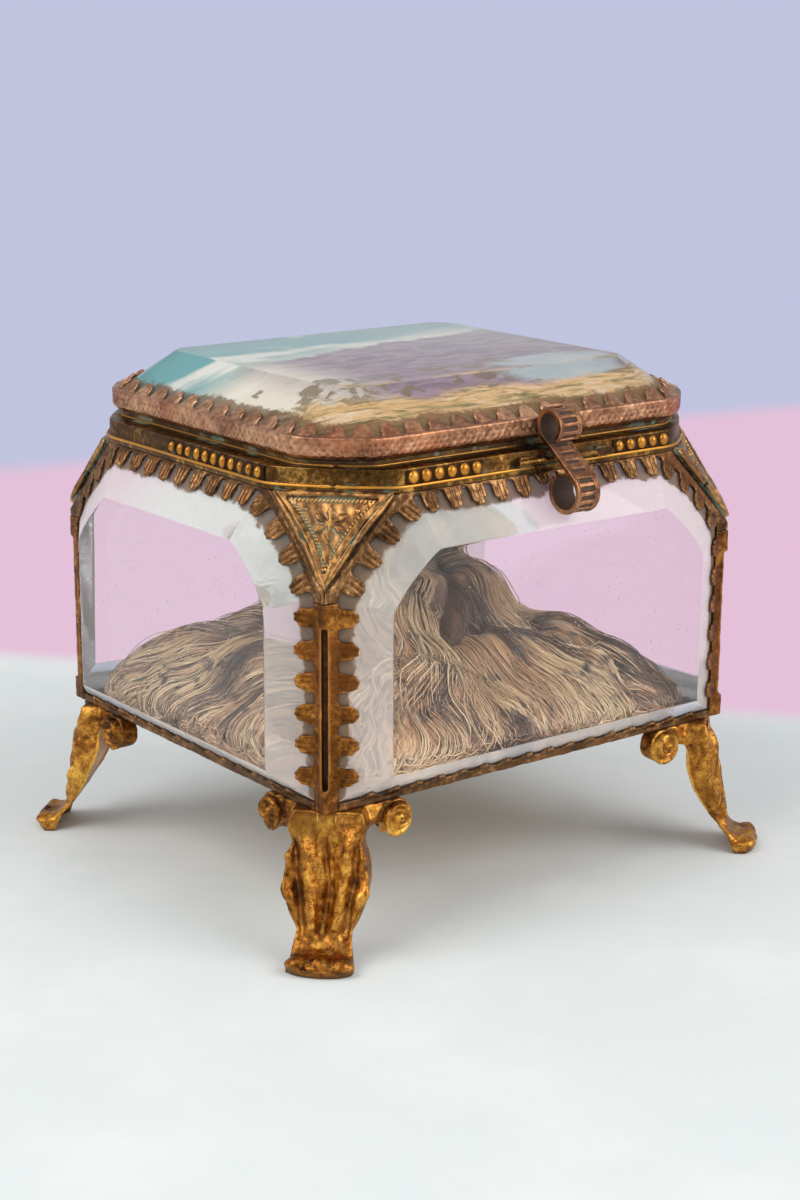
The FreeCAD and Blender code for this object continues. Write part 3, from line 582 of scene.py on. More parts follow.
@dataclass(frozen=True)
class PictureFinish:
    """Soft tinted landscape behind the lid glass: sky, hills, a pond and a dry meadow."""

    name: str
    half_x: float = 33.0 * MM
    half_y: float = 29.0 * MM
    sky: Color = tone(96, 160, 160)
    haze: Color = tone(232, 224, 200)
    cloud: Color = tone(240, 234, 216)
    hill: Color = tone(156, 134, 144)
    ridge: Color = tone(120, 102, 116)
    field: Color = tone(214, 170, 108)
    grass: Color = tone(138, 130, 78)
    earth: Color = tone(94, 60, 38)
    pond: Color = tone(176, 192, 190)
    sky_lean: float = 0.22
    cloud_scale: float = 70.0
    far_scale: float = 46.0
    near_scale: float = 60.0
    brush_scale: float = 260.0
    stroke_scale: float = 190.0
    pond_stretch: Place = (26.0, 75.0, 0.0)
    pond_middle: Place = (0.5, -0.95, 0.0)
    tree_line: float = 0.34
    tree_scale: float = 210.0
    grove_scale: float = 55.0
    foxing_scale: float = 900.0

    def sky_part(self, g: Graph, across: bpy.types.NodeSocket, up: bpy.types.NodeSocket) -> bpy.types.NodeSocket:
        """Paints the sky with its clouds.

        Args:
            g: Graph of the finish.
            across: Place from the left edge to the right, -1 to 1.
            up: Place from the lower edge to the upper, -1 to 1.

        Returns:
            The colour.
        """
        slant = g.less(up, g.times(across, self.sky_lean))
        air = g.ramp(g.between(slant, -0.2, 0.95, False), ((0.0, self.haze), (0.4, self.haze), (0.7, self.sky)))
        puffs = g.noise(self.cloud_scale, 5, 0.55, 0.3, g.stretched((0.6, 1.5, 1.0)))
        return g.mix(g.times(g.between(puffs, 0.5, 0.66), 0.85), air, self.cloud)

    def material(self) -> bpy.types.Material:
        """Builds the finish.

        Returns:
            Material for the printed face.
        """
        g = Graph(self.name)
        axes = g.node("ShaderNodeSeparateXYZ")
        g.feed(axes.inputs[0], g.place)
        across = g.calc("DIVIDE", axes.outputs[0], self.half_x)
        up = g.calc("DIVIDE", axes.outputs[1], self.half_y)
        line = g.noise(self.far_scale, 5, 0.6, 0.0, g.stretched((1.0, 0.15, 1.0)))
        far_top = g.plus(g.times(line, 0.8), g.times(across, 0.2))
        far = g.between(g.less(far_top, up), -0.02, 0.05)
        far = g.times(far, g.between(across, -0.8, -0.3))
        brush = g.noise(self.brush_scale, 4, 0.6, 0.8, g.stretched((0.7, 2.2, 1.0)))
        stone = g.mix(g.between(brush, 0.4, 0.62), self.hill, self.ridge)
        scene = g.mix(far, self.sky_part(g, across, up), stone)
        near_line = g.noise(self.near_scale, 4, 0.55, 0.0, g.stretched((1.0, 0.1, 1.0)))
        near_top = g.less(g.times(near_line, 0.5), 0.74)
        near = g.between(g.less(near_top, up), -0.03, 0.1)
        strokes = g.noise(self.stroke_scale, 5, 0.7, 1.6, g.stretched((0.45, 2.0, 1.0)))
        ground = g.ramp(strokes, ((0.3, self.earth), (0.41, self.grass), (0.5, self.field), (0.76, self.haze)))
        scene = g.mix(near, scene, ground)
        basin = g.node("ShaderNodeVectorMath", operation="DISTANCE")
        g.feed(basin.inputs[0], g.stretched(self.pond_stretch))
        basin.inputs[1].default_value = self.pond_middle
        water = g.between(g.plus(basin.outputs["Value"], g.times(brush, 0.15)), 0.42, 0.3)
        scene = g.mix(g.times(water, 0.8), scene, self.pond)
        off_line = g.calc("ABSOLUTE", g.plus(up, self.tree_line))
        clumps = g.less(g.noise(self.tree_scale, 4, 0.6), g.times(off_line, 0.55))
        grove = g.between(g.noise(self.grove_scale, 2), 0.42, 0.56)
        tree = g.times(g.between(clumps, 0.46, 0.52), grove)
        scene = g.mix(g.times(tree, 0.85), scene, g.mix(brush, self.earth, self.grass))
        aged = g.between(g.noise(self.foxing_scale, 3), 0.62, 0.8)
        scene = g.mix(g.times(aged, 0.2), scene, self.earth)
        return g.close(g.surface(Base_Color=scene, Roughness=0.55))


@dataclass(frozen=True)
class PaperFinish:
    """Foxed paper or worn lining cloth."""

    name: str
    sheet: Color = tone(150, 124, 90)
    spot: Color = tone(88, 60, 38)
    thread: Color = tone(190, 168, 130)
    spot_scale: float = 130.0
    fibre_scale: float = 1500.0
    fibre_depth: float = 0.1 * MM

    def material(self) -> bpy.types.Material:
        """Builds the finish.

        Returns:
            Material for one side of a sheet.
        """
        g = Graph(self.name)
        fibre = g.noise(self.fibre_scale, 4, 0.7)
        base = g.mix(g.between(g.noise(self.spot_scale, 4), 0.5, 0.75), self.sheet, self.spot)
        base = g.mix(g.times(fibre, 0.3), base, self.thread)
        normal = g.bump(fibre, self.fibre_depth, 0.4)
        return g.close(g.surface(Base_Color=base, Roughness=0.9, Normal=normal))


@dataclass(frozen=True)
class SilkFinish:
    """Worn silk: cream strands that run with the flow of the pad, over creases darkened to mauve-brown with
    painted shade.
    """

    name: str
    light: Color
    middle: Color
    deep: Color
    hairs: int = 420
    hair_scale: float = 1.7
    hair_detail: float = 3.0
    hair_share: float = 0.6
    hair_depth: float = 0.2 * MM
    wisp_scale: float = 240.0
    wisp_share: float = 0.35
    crease_shade_reach: float = 2.4 * MM
    crease_shade_share: float = 0.4

    def material(self) -> bpy.types.Material:
        """Builds the finish.

        Returns:
            Material for the pad and for its loose threads.
        """
        g = Graph(self.name)
        turn = g.calc("ARCTAN2", g.stored("swirl_y"), g.stored("swirl_x"))
        line = g.node("ShaderNodeTexNoise", noise_dimensions="1D")
        g.feed(line.inputs["W"], g.times(turn, self.hairs / (2 * math.pi)))
        g.feed(line.inputs["Scale"], self.hair_scale)
        g.feed(line.inputs["Detail"], self.hair_detail)
        hair = line.outputs["Fac"]
        shade = g.plus(g.stored("shade"), g.sway(hair, self.hair_share))
        shade = g.plus(shade, g.sway(g.noise(self.wisp_scale, 3, 0.6), self.wisp_share), True)
        base = g.ramp(shade, ((0.08, self.deep), (0.45, self.middle), (0.85, self.light)))
        # Painted shade: creases darkened toward the deep colour the more enclosed they are.
        crease = g.between(g.hollow(self.crease_shade_reach), 0.45, 0.95)
        base = g.mix(g.times(crease, self.crease_shade_share), base, self.deep)
        normal = g.bump(hair, self.hair_depth, 0.6)
        return g.close(g.surface(
            Base_Color=base, Roughness=0.48, Sheen_Weight=0.3, Sheen_Roughness=0.4, Normal=normal))


def rise(values: np.ndarray, start: float, length: float) -> np.ndarray:
    """Share from 0 at a start to 1 a length further on."""
    return np.clip((values - start) / length, 0, 1)


def fall(values: np.ndarray, end: float, length: float) -> np.ndarray:
    """Share from 1 to 0 over a length before an end."""
    return np.clip((end - values) / length, 0, 1)


def ridge(values: np.ndarray, width: float) -> np.ndarray:
    """Round ridge of height 1 where the values are 0."""
    return np.exp(-(values / width) ** 2)


def pick_all(mesh: bpy.types.Mesh) -> tuple[np.ndarray, np.ndarray]:
    """Points and normals of a mesh.

    Args:
        mesh: Mesh to read.

    Returns:
        Two arrays of three columns.
    """
    points = np.empty(len(mesh.vertices) * 3, np.float64)
    mesh.vertices.foreach_get("co", points)
    normals = np.empty(len(mesh.vertices) * 3, np.float64)
    mesh.vertices.foreach_get("normal", normals)
    return points.reshape(-1, 3), normals.reshape(-1, 3)


def put_all(mesh: bpy.types.Mesh, points: np.ndarray) -> None:
    """Moves the points of a mesh.

    Args:
        mesh: Mesh to change.
        points: New places.
    """
    mesh.vertices.foreach_set("co", points.astype(np.float32).ravel())
    mesh.update()


def ripple(points: np.ndarray, length: float, seed: int) -> np.ndarray:
    """Smooth irregular height at each point.

    Args:
        points: Places, in metres.
        length: Typical length of a wave.
        seed: Which pattern.

    Returns:
        Heights of about -1 to 1.
    """
    rng = np.random.default_rng(seed)
    total = np.zeros(len(points))
    for _ in range(RIPPLE_WAVES):
        way = rng.normal(size=3)
        way *= 2 * math.pi / length * rng.uniform(*RIPPLE_SPREAD) / np.linalg.norm(way)
        total += np.sin(points @ way + rng.uniform(0, RIPPLE_PHASE))
    return total / RIPPLE_CALM


@dataclass(frozen=True)
class Wander:
    """Slow irregular change from place to place: its size, the length of its waves and which pattern."""

    size: float
    length: float
    seed: int

    def at(self, points: np.ndarray) -> np.ndarray:
        """Change at each point."""
        return self.size * ripple(points, self.length, self.seed)


def link(name: str, mesh: bpy.types.Mesh) -> bpy.types.Object:
    """Puts a mesh into the scene as a new piece.

    Args:
        name: Name of the piece.
        mesh: Its mesh.

    Returns:
        The piece.
    """
    piece = bpy.data.objects.new(name, mesh)
    bpy.context.scene.collection.objects.link(piece)
    return piece


def settle(work: bmesh.types.BMesh, name: str, sharp: Optional[float] = None) -> bpy.types.Object:
    """Makes a mesh in work a new piece.

    Args:
        work: Mesh in work, which ends here.
        name: Name of the piece.
        sharp: Angle in degrees above which an edge stays sharp, or None for smooth all over.

    Returns:
        The piece.
    """
    mesh = bpy.data.meshes.new(name)
    work.to_mesh(mesh)
    work.free()
    mesh.shade_smooth()
    if sharp is not None:
        mesh.set_sharp_from_angle(angle=math.radians(sharp))
    return link(name, mesh)


def copied(node: str, name: str) -> bpy.types.Object:
    """Welded copy of a CAD node, with its flat faces made whole.

    Args:
        node: Name of the node.
        name: Name of the new piece.

    Returns:
        The copy.
    """
    work = bmesh.new()
    work.from_mesh(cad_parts[node].data)
    bmesh.ops.remove_doubles(work, verts=work.verts, dist=WELD)
    bmesh.ops.dissolve_limit(
        work, angle_limit=math.radians(FLAT_ANGLE), verts=work.verts, edges=work.edges,
        use_dissolve_boundaries=False)
    bmesh.ops.recalc_face_normals(work, faces=work.faces)
    work.verts.index_update()
    mesh = bpy.data.meshes.new(name)
    mesh.from_pydata([v.co[:] for v in work.verts], [], [[v.index for v in f.verts] for f in work.faces])
    work.free()
    return link(name, mesh)


def bake(piece: bpy.types.Object, sharp: Optional[float]) -> None:
    """Makes a piece's modifiers part of its mesh and sets its shading.

    Args:
        piece: Piece to change.
        sharp: Angle in degrees above which an edge stays sharp, or None for smooth all over.
    """
    graph = bpy.context.evaluated_depsgraph_get()
    mesh = bpy.data.meshes.new_from_object(piece.evaluated_get(graph))
    mesh.name = piece.name
    piece.modifiers.clear()
    piece.data = mesh
    mesh.shade_smooth()
    if sharp is not None:
        mesh.set_sharp_from_angle(angle=math.radians(sharp))


def melt(piece: bpy.types.Object, grain: float) -> None:
    """Gives a piece a new skin of small, even faces.

    Args:
        piece: Piece to change.
        grain: Size of the faces.
    """
    made = piece.modifiers.new("melt", "REMESH")
    made.mode = "VOXEL"
    made.voxel_size = grain


def soften(piece: bpy.types.Object, rounds: int) -> None:
    """Smooths a piece.

    Args:
        piece: Piece to change.
        rounds: How often.
    """
    made = piece.modifiers.new("soft", "SMOOTH")
    made.factor = SOFT_STEP
    made.iterations = rounds


def chamfered(node: str, name: str, width: float, segments: int, angle: float) -> bpy.types.Object:
    """Copy of a CAD node with its sharp edges taken off.

    Args:
        node: Name of the node.
        name: Name of the new piece.
        width: Width of the new edge.
        segments: Steps across it.
        angle: Angle in degrees above which an edge is sharp.

    Returns:
        The piece.
    """
    piece = copied(node, name)
    bevel = piece.modifiers.new("edge", "BEVEL")
    bevel.width = width
    bevel.segments = segments
    bevel.limit_method = "ANGLE"
    bevel.angle_limit = math.radians(angle)
    bevel.use_clamp_overlap = True
    bake(piece, angle)
    return piece


def eased(node: str, name: str, width: float, segments: int = 2) -> bpy.types.Object:
    """Copy of a CAD node in sheet or wire, with its edges eased."""
    return chamfered(node, name, width, segments, METAL_ANGLE)


def forged(node: str, name: str, grain: float, rounds: int, rough: float, seed: int) -> bpy.types.Object:
    """Copy of a CAD node with the soft, uneven surface of hand-worked metal.

    Args:
        node: Name of the node.
        name: Name of the new piece.
        grain: Size of its new faces.
        rounds: How often it is smoothed.
        rough: Height of its unevenness.
        seed: Which unevenness.

    Returns:
        The piece.
    """
    piece = copied(node, name)
    melt(piece, grain)
    soften(piece, rounds)
    bake(piece, None)
    points, normals = pick_all(piece.data)
    lift = np.zeros(len(points))
    for step, (length, share) in enumerate(HAMMERING):
        lift += ripple(points, length, seed + step) * share
    put_all(piece.data, points + normals * (lift * rough)[:, None])
    return piece


def dress(piece: bpy.types.Object, body: Body, slot: Slot, *materials: bpy.types.Material,
          stands_for: Sequence[str] = ()) -> bpy.types.Object:
    """Gives a piece its finish and the body that it moves with.

    Args:
        piece: Piece to dress.
        body: Body that carries it.
        slot: Not used.
        materials: Materials, by face index.
        stands_for: CAD nodes that it replaces.

    Returns:
        The piece.
    """
    if piece.data.materials:
        piece.data.materials.clear()
    for material in materials:
        piece.data.materials.append(material)
    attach(piece, body.value)
    if stands_for:
        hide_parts(*stands_for)
    LOG.info("%s: %d faces on %s", piece.name, len(piece.data.polygons), body.value)
    return piece


def hoops(line: list[Vector], radius: float, sides: int) -> list[list[Vector]]:
    """Rings of points round a line, smaller toward its ends.

    Args:
        line: Points along the middle.
        radius: Radius of the rings.
        sides: Points in a ring.

    Returns:
        One ring for each point of the line.
    """
    last = len(line) - 1
    turns = [2 * math.pi * step / sides for step in range(sides)]
    rings = []
    for index, place in enumerate(line):
        along = (line[min(index + 1, last)] - line[max(index - 1, 0)]).normalized()
        side = along.orthogonal().normalized()
        top = side.cross(along)
        size = radius * min(1.0, TIP_SIZE + TIP_GROWTH * min(index, last - index))
        rings.append([place + (side * math.cos(turn) + top * math.sin(turn)) * size for turn in turns])
    return rings


def rod(work: bmesh.types.BMesh, line: list[Vector], radius: float, sides: int = 8) -> None:
    """Adds a closed round rod with tapered ends to a mesh in work.

    Args:
        work: Mesh in work.
        line: Points along its middle.
        radius: Its radius.
        sides: Flats round it.
    """
    rings = [[work.verts.new(spot) for spot in ring] for ring in hoops(line, radius, sides)]
    for first, second in zip(rings, rings[1:]):
        for step in range(sides):
            after = (step + 1) % sides
            work.faces.new((first[step], first[after], second[after], second[step]))
    work.faces.new(rings[0][::-1])
    work.faces.new(rings[-1])


def knob(work: bmesh.types.BMesh, seat: Matrix, size: Sequence[float], rounds: tuple[int, int]) -> None:
    """Adds a small round knob to a mesh in work.

    Args:
        work: Mesh in work.
        seat: Its middle and direction.
        size: Its half sizes.
        rounds: Faces round it and from end to end.
    """
    bmesh.ops.create_uvsphere(
        work, u_segments=rounds[0], v_segments=rounds[1], radius=1.0, matrix=seat @ Matrix.Diagonal((*size, 1.0)))


def store(mesh: bpy.types.Mesh, name: str, values: np.ndarray) -> None:
    """Keeps one value per point on a mesh.

    Args:
        mesh: Mesh to change.
        name: Name of the value.
        values: One number for each point.
    """
    made = mesh.attributes.new(name, "FLOAT", "POINT")
    made.data.foreach_set("value", values.astype(np.float32))


def comb(mesh: bpy.types.Mesh, shades: np.ndarray, turns: np.ndarray) -> None:
    """Keeps on a mesh what the silk's finish reads.

    Args:
        mesh: Mesh to change.
        shades: How light each point is.
        turns: Angle round the crown at which each point lies.
    """
    store(mesh, "shade", np.clip(shades, 0, 1))
    store(mesh, "swirl_x", np.cos(turns))
    store(mesh, "swirl_y", np.sin(turns))


@dataclass
class Gallery:
    """Pronged strips round the panes: corner posts, arched top rails and bottom rails."""

    half_x: float = 38.0 * MM
    half_y: float = 34.0 * MM
    arch_start: float = 22.5 * MM
    arch_low: float = 40.0 * MM
    grain: float = 0.16 * MM
    rounds: int = 2
    rough: float = 0.06 * MM
    first_seed: int = 10
    seed_step: int = 3
    groove: float = 0.075 * MM
    groove_pitch: float = 0.78 * MM
    groove_from: float = 0.1 * MM
    groove_fade: float = 0.4 * MM

    def grooves(self, points: np.ndarray, side: Optional[Side]) -> np.ndarray:
        """Depth of the fine lines along each prong.

        Args:
            points: Places on a strip.
            side: Side of a rail, or None for a post.

        Returns:
            Height along each normal.
        """
        proud = np.maximum(np.abs(points[:, 0]) - self.half_x, np.abs(points[:, 1]) - self.half_y)
        mask = rise(proud, self.groove_from, self.groove_fade)
        across = points[:, 2]
        if side is not None:
            level = np.abs(points[:, 0] if side.value[0] == 0 else points[:, 1])
            end = self.arch_start - (0 if side.value[0] == 0 else self.half_x - self.half_y)
            slant = (level - points[:, 2]) * DIAGONAL
            across = np.where((level > end) & (points[:, 2] > self.arch_low), slant, level)
        return mask * self.groove * np.cos(2 * math.pi * across / self.groove_pitch)

    def build(self, rail: bpy.types.Material, post: bpy.types.Material) -> None:
        """Forges and dresses all strips.

        Args:
            rail: Finish of the rails.
            post: Finish of the corner posts.
        """
        names: list[tuple[str, Optional[Side]]] = [("corner_post_" + corner.tag, None) for corner in Corner]
        names += [(part + side.tag, side) for part in ("top_rail_", "bottom_rail_") for side in Side]
        for number, (node, side) in enumerate(names):
            seed = self.first_seed + self.seed_step * number
            piece = forged(node, node + "_strip", self.grain, self.rounds, self.rough, seed)
            points, normals = pick_all(piece.data)
            put_all(piece.data, points + normals * self.grooves(points, side)[:, None])
            dress(piece, Body.CASKET, Slot.GALLERY, rail if side else post, stands_for=[node])


class PaneFace(Enum):
    """Kinds of faces of a pane, with their places among its materials."""

    FLAT = 0
    BEVEL = 1
    ARRIS = 2
    BACK = 3


@dataclass(frozen=True)
class PaneSkin:
    """Materials of a pane, in the order of their face indices."""

    flat: bpy.types.Material
    bevel: bpy.types.Material
    arris: bpy.types.Material
    back: bpy.types.Material


@dataclass
class Panes:
    """Bevelled glass sides."""

    arris: float = 0.2 * MM
    arris_steps: int = 2
    bevel_rise: float = 4.0 * MM
    middle_z: float = 43.0 * MM
    half_z: float = 20.7 * MM
    top_soil: float = 0.14
    flat_from: float = 0.985
    arris_from: float = 0.875
    bevel_from: float = 0.3

    def build(self, skin: PaneSkin) -> None:
        """Makes and dresses the four panes.

        Args:
            skin: Their finishes.
        """
        steps = (self.flat_from, self.arris_from, self.bevel_from)
        kinds = (PaneFace.FLAT, PaneFace.ARRIS, PaneFace.BEVEL, PaneFace.BACK)
        for side in Side:
            node = "pane_" + side.tag
            piece = chamfered(node, node + "_glass", self.arris, self.arris_steps, GLASS_ANGLE)
            points, _ = pick_all(piece.data)
            out = points @ np.array([*side.value, 0.0])
            higher = (points[:, 2] - self.middle_z) / self.half_z
            store(piece.data, "rim", (out.max() - out) / self.bevel_rise + self.top_soil * higher)
            dress(piece, Body.CASKET, Slot.PANE, skin.flat, skin.bevel, skin.arris, skin.back, stands_for=[node])
            # Which way each face looks, giving the tone of the painted reflection on the bevels.
            facet = piece.data.attributes.new("facet", "FLOAT", "FACE")
            for face in piece.data.polygons:
                outward = face.normal.x * side.value[0] + face.normal.y * side.value[1]
                face.material_index = kinds[sum(outward < step for step in steps)].value
                facet.data[face.index].value = 0.5 + face.normal.z


@dataclass
class Spandrels:
    """Cast corner plates with a flower inside a milled border."""

    half_x: float = 38.0 * MM
    half_y: float = 34.0 * MM
    cut: float = 12.9 * MM
    high: float = 12.9 * MM
    z_top: float = 64.62 * MM
    plate: float = 0.8 * MM
    grain: float = 0.14 * MM
    rounds: int = 2
    rough: float = 0.06 * MM
    first_seed: int = 70
    inset: float = 1.85 * MM
    centre: float = 0.66
    bow: float = 0.8 * MM
    pitch: float = 0.56 * MM
    bead: tuple[float, float, float] = (0.4725 * MM, 0.2484 * MM, 0.3375 * MM)
    bead_turn: float = 58.0
    bead_rounds: tuple[int, int] = (8, 5)
    dot: tuple[float, float, float] = (0.45 * MM, 0.45 * MM, 0.38 * MM)
    dot_rounds: tuple[int, int] = (10, 6)
    dots: tuple[tuple[float, float], ...] = (
        (-3.6, 12.6), (3.6, 12.6), (-2.9, 9.3), (2.9, 9.3), (-5.3, 13.6), (5.3, 13.6), (0.0, 5.0))
    tip: float = 5.0 * MM
    tip_sink: float = 0.7 * MM
    rib_in: float = 0.75 * MM
    rib_r: float = 0.5 * MM
    rib_bow: float = 0.6
    rib_start: float = 0.12
    rib_wide: float = 0.86
    rib_high: float = 0.84
    rib_top: float = 0.9
    rib_steps: int = 12
    seat_up: float = 0.45 * MM
    seat_fade: float = 1.5 * MM

    def seat(self, corner: Corner) -> Matrix:
        """Plane of a plate.

        Args:
            corner: Which corner.

        Returns:
            Matrix from across, up the slope and outward to the casket.
        """
        sx, sy = corner.value
        apex = Vector((sx * self.half_x, sy * self.half_y, self.z_top - self.high))
        first = Vector((sx * (self.half_x - self.cut), sy * self.half_y, self.z_top))
        second = Vector((sx * self.half_x, sy * (self.half_y - self.cut), self.z_top))
        slope = ((first + second) / 2 - apex).normalized()
        across = (first - second).normalized()
        out = across.cross(slope)
        if out.z < 0:
            across, out = -across, -out
        made = Matrix((across, slope, out)).transposed().to_4x4()
        made.translation = apex
        return made

    def border(self) -> list[tuple[Vector, float]]:
        """Places of the milled beads of one plate.

        Returns:
            Points on the plate and the direction of the border there.
        """
        wide = self.cut / math.sqrt(2)
        reach = math.hypot(wide, self.high)
        low = self.inset * math.hypot(wide, reach) / wide
        top = reach - self.inset
        half = (top - low) * wide / reach
        corners = [Vector((half, top, 0)), Vector((0, low, 0)), Vector((-half, top, 0))]
        centre = Vector((0, low + (top - low) * self.centre, 0))
        beads = []
        for index in range(3):
            start, end = corners[index], corners[(index + 1) % 3]
            along = end - start
            side = Vector((along.y, -along.x, 0)).normalized()
            if side.dot(centre - start) < 0:
                side = -side
            bow = self.bow if index < 2 else 0.0
            count = int(along.length / self.pitch)
            for step in range(count):
                t = (step + 0.5) / count
                beads.append((start + along * t + side * (4 * bow * t * (1 - t)), math.atan2(along.y, along.x)))
        return beads

    def ribs(self) -> list[list[Vector]]:
        """Lines of the raised ribs along the edges of a plate.

        Returns:
            One line for each slanted edge and one for the top.
        """
        wide = self.cut / math.sqrt(2)
        reach = math.hypot(wide, self.high)
        steps = [step / self.rib_steps for step in range(self.rib_steps + 1)]
        lines = []
        for sign in (-1, 1):
            line = []
            for t in steps:
                inward = self.rib_in + 4 * self.bow * self.rib_bow * t * (1 - t)
                beside = max(wide * (self.rib_start + self.rib_wide * t) - inward, 0.0)
                line.append(Vector((sign * beside, reach * (self.rib_start + self.rib_high * t), self.plate)))
            lines.append(line)
        half = self.rib_top * wide - self.rib_in
        lines.append([Vector((half * (2 * t - 1), reach - self.rib_in, self.plate)) for t in steps])
        return lines

    def rope(self, corner: Corner) -> bpy.types.Object:
        """Milled border of one plate, with dots round its flower.

        Args:
            corner: Which corner.

        Returns:
            The piece.
        """
        work = bmesh.new()
        seat = self.seat(corner)
        for place, angle in self.border():
            spot = Matrix.Translation(place + Vector((0, 0, self.plate)))
            turn = Matrix.Rotation(angle + math.radians(self.bead_turn), 4, "Z")
            knob(work, seat @ spot @ turn, self.bead, self.bead_rounds)
        for x, y in self.dots:
            knob(work, seat @ Matrix.Translation(Vector((x * MM, y * MM, self.plate))), self.dot, self.dot_rounds)
        for line in self.ribs():
            rod(work, [seat @ place for place in line], self.rib_r)
        bmesh.ops.recalc_face_normals(work, faces=work.faces)
        return settle(work, "spandrel_rope_" + corner.tag)

    def build(self, brass: bpy.types.Material) -> None:
        """Makes and dresses the four plates and their borders.

        Args:
            brass: Their finish.
        """
        for number, corner in enumerate(Corner):
            node = "spandrel_" + corner.tag
            piece = forged(node, node + "_plate", self.grain, self.rounds, self.rough, self.first_seed + number)
            points, _ = pick_all(piece.data)
            seat = self.seat(corner)
            up, out = np.array(seat.col[1][:3]), np.array(seat.col[2][:3])
            slope = (points - np.array(seat.translation)) @ up
            sink = fall(slope, self.tip, self.tip) * self.tip_sink
            grown = rise(slope, slope.max() - self.seat_fade, self.seat_fade) * self.seat_up
            put_all(piece.data, points - out * sink[:, None] + up * grown[:, None])
            dress(piece, Body.CASKET, Slot.BAND, brass, stands_for=[node])
            dress(self.rope(corner), Body.CASKET, Slot.BAND, brass)


@dataclass(frozen=True)
class BandSkin:
    """Materials of the band, its beads and their beds, and of both sides of the base plate."""

    band: bpy.types.Material
    bead: bpy.types.Material
    bed: bpy.types.Material
    sheet: bpy.types.Material
    lining: bpy.types.Material


@dataclass(frozen=True)
class BeadRow:
    """One row of beads: the axis it runs along, the sign of its outward way and the width of a bead."""

    node: str
    along: int
    sign: int
    round_share: float


@dataclass
class Band:
    """Band round the mouth with its rows of beads and its edging, and the base plate."""

    edge: float = 0.22 * MM
    edge_steps: int = 3
    base_edge: float = 0.1 * MM
    pitch: float = 2.2 * MM
    radius: float = 0.88 * MM
    proud: float = 0.7 * MM
    strip: float = 0.14 * MM
    worn: tuple[float, float] = (0.86, 1.06)
    worn_proud: tuple[float, float] = (0.9, 1.0)
    bead_rounds: tuple[int, int] = (16, 10)
    bed_angle: float = 40.0
    cord: float = 0.24 * MM
    cord_sides: int = 6
    cord_low: float = 65.45 * MM
    cord_high: float = 67.95 * MM
    cord_steps: int = 241
    cord_clear: float = 1.0 * MM
    outside: float = 100.0 * MM
    straight: float = 0.9
    rows: tuple[BeadRow, ...] = (
        BeadRow("bead_strip_front_left", 0, -1, 0.95), BeadRow("bead_strip_front_right", 0, -1, 0.9),
        BeadRow("bead_strip_left", 1, -1, 0.66), BeadRow("bead_strip_right", 1, 1, 0.66))

    def beads(self, row: BeadRow) -> bpy.types.Object:
        """One row of worn beads on its strip.

        Args:
            row: Which row.

        Returns:
            The piece.
        """
        low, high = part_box(row.node)
        along, out = row.along, 1 - row.along
        rng = random.Random(row.node)
        work = bmesh.new()
        back = low[out] if row.sign > 0 else high[out]
        face = back + row.sign * self.strip
        size = [0.0, 0.0, high.z - low.z]
        size[along] = high[along] - low[along]
        size[out] = self.strip
        middle = (low + high) / 2
        middle[out] = (back + face) / 2
        bmesh.ops.create_cube(work, size=1.0, matrix=Matrix.Translation(middle) @ Matrix.Diagonal((*size, 1.0)))
        for bed in work.faces:
            bed.material_index = 1
        for index in range(round(size[along] / self.pitch)):
            spot = middle.copy()
            spot[along] = low[along] + (index + 0.5) * self.pitch
            spot[out] = face
            stretch = [self.radius * rng.uniform(*self.worn)] * 3
            stretch[along] *= row.round_share
            stretch[out] = self.proud * rng.uniform(*self.worn_proud)
            knob(work, Matrix.Translation(spot), stretch, self.bead_rounds)
        return settle(work, row.node + "_row", self.bed_angle)

    def edging(self, band: bpy.types.Object) -> bpy.types.Object:
        """Fine cords along the upper and lower edge of the band, clear of the hinge and the clasp.

        Args:
            band: Band that they sit on.

        Returns:
            The piece.
        """
        tree = BVHTree.FromObject(band, bpy.context.evaluated_depsgraph_get())
        low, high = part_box("clasp")
        work = bmesh.new()
        for level in (self.cord_low, self.cord_high):
            line: list[Vector] = []
            for step in range(self.cord_steps):
                angle = 2 * math.pi * step / (self.cord_steps - 1) + math.pi / 2
                way = Vector((math.cos(angle), math.sin(angle), 0))
                hit, normal, _, _ = tree.ray_cast(way * self.outside + Vector((0, 0, level)), -way)
                bare = hit is None or normal.y > self.straight
                if not bare and normal.y < -self.straight:
                    bare = low.x - self.cord_clear < hit.x < high.x + self.cord_clear
                if not bare:
                    line.append(hit)
                    continue
                if len(line) > 1:
                    rod(work, line, self.cord, self.cord_sides)
                line = []
        bmesh.ops.recalc_face_normals(work, faces=work.faces)
        return settle(work, "band_edging")

    def build(self, skin: BandSkin) -> None:
        """Makes and dresses band, edging, beads and base plate.

        Args:
            skin: Their finishes.
        """
        band = eased("top_frame", "mouth_band", self.edge, self.edge_steps)
        dress(band, Body.CASKET, Slot.BAND, skin.band, stands_for=["top_frame"])
        dress(self.edging(band), Body.CASKET, Slot.BAND, skin.bead)
        for row in self.rows:
            dress(self.beads(row), Body.CASKET, Slot.BAND, skin.bead, skin.bed, stands_for=[row.node])
        sheet = eased("base_plate", "base_sheet", self.base_edge)
        dress(sheet, Body.CASKET, Slot.BASE, skin.sheet, skin.lining, stands_for=["base_plate"])
        for face in sheet.data.polygons:
            face.material_index = int(face.normal.z > 0.5)


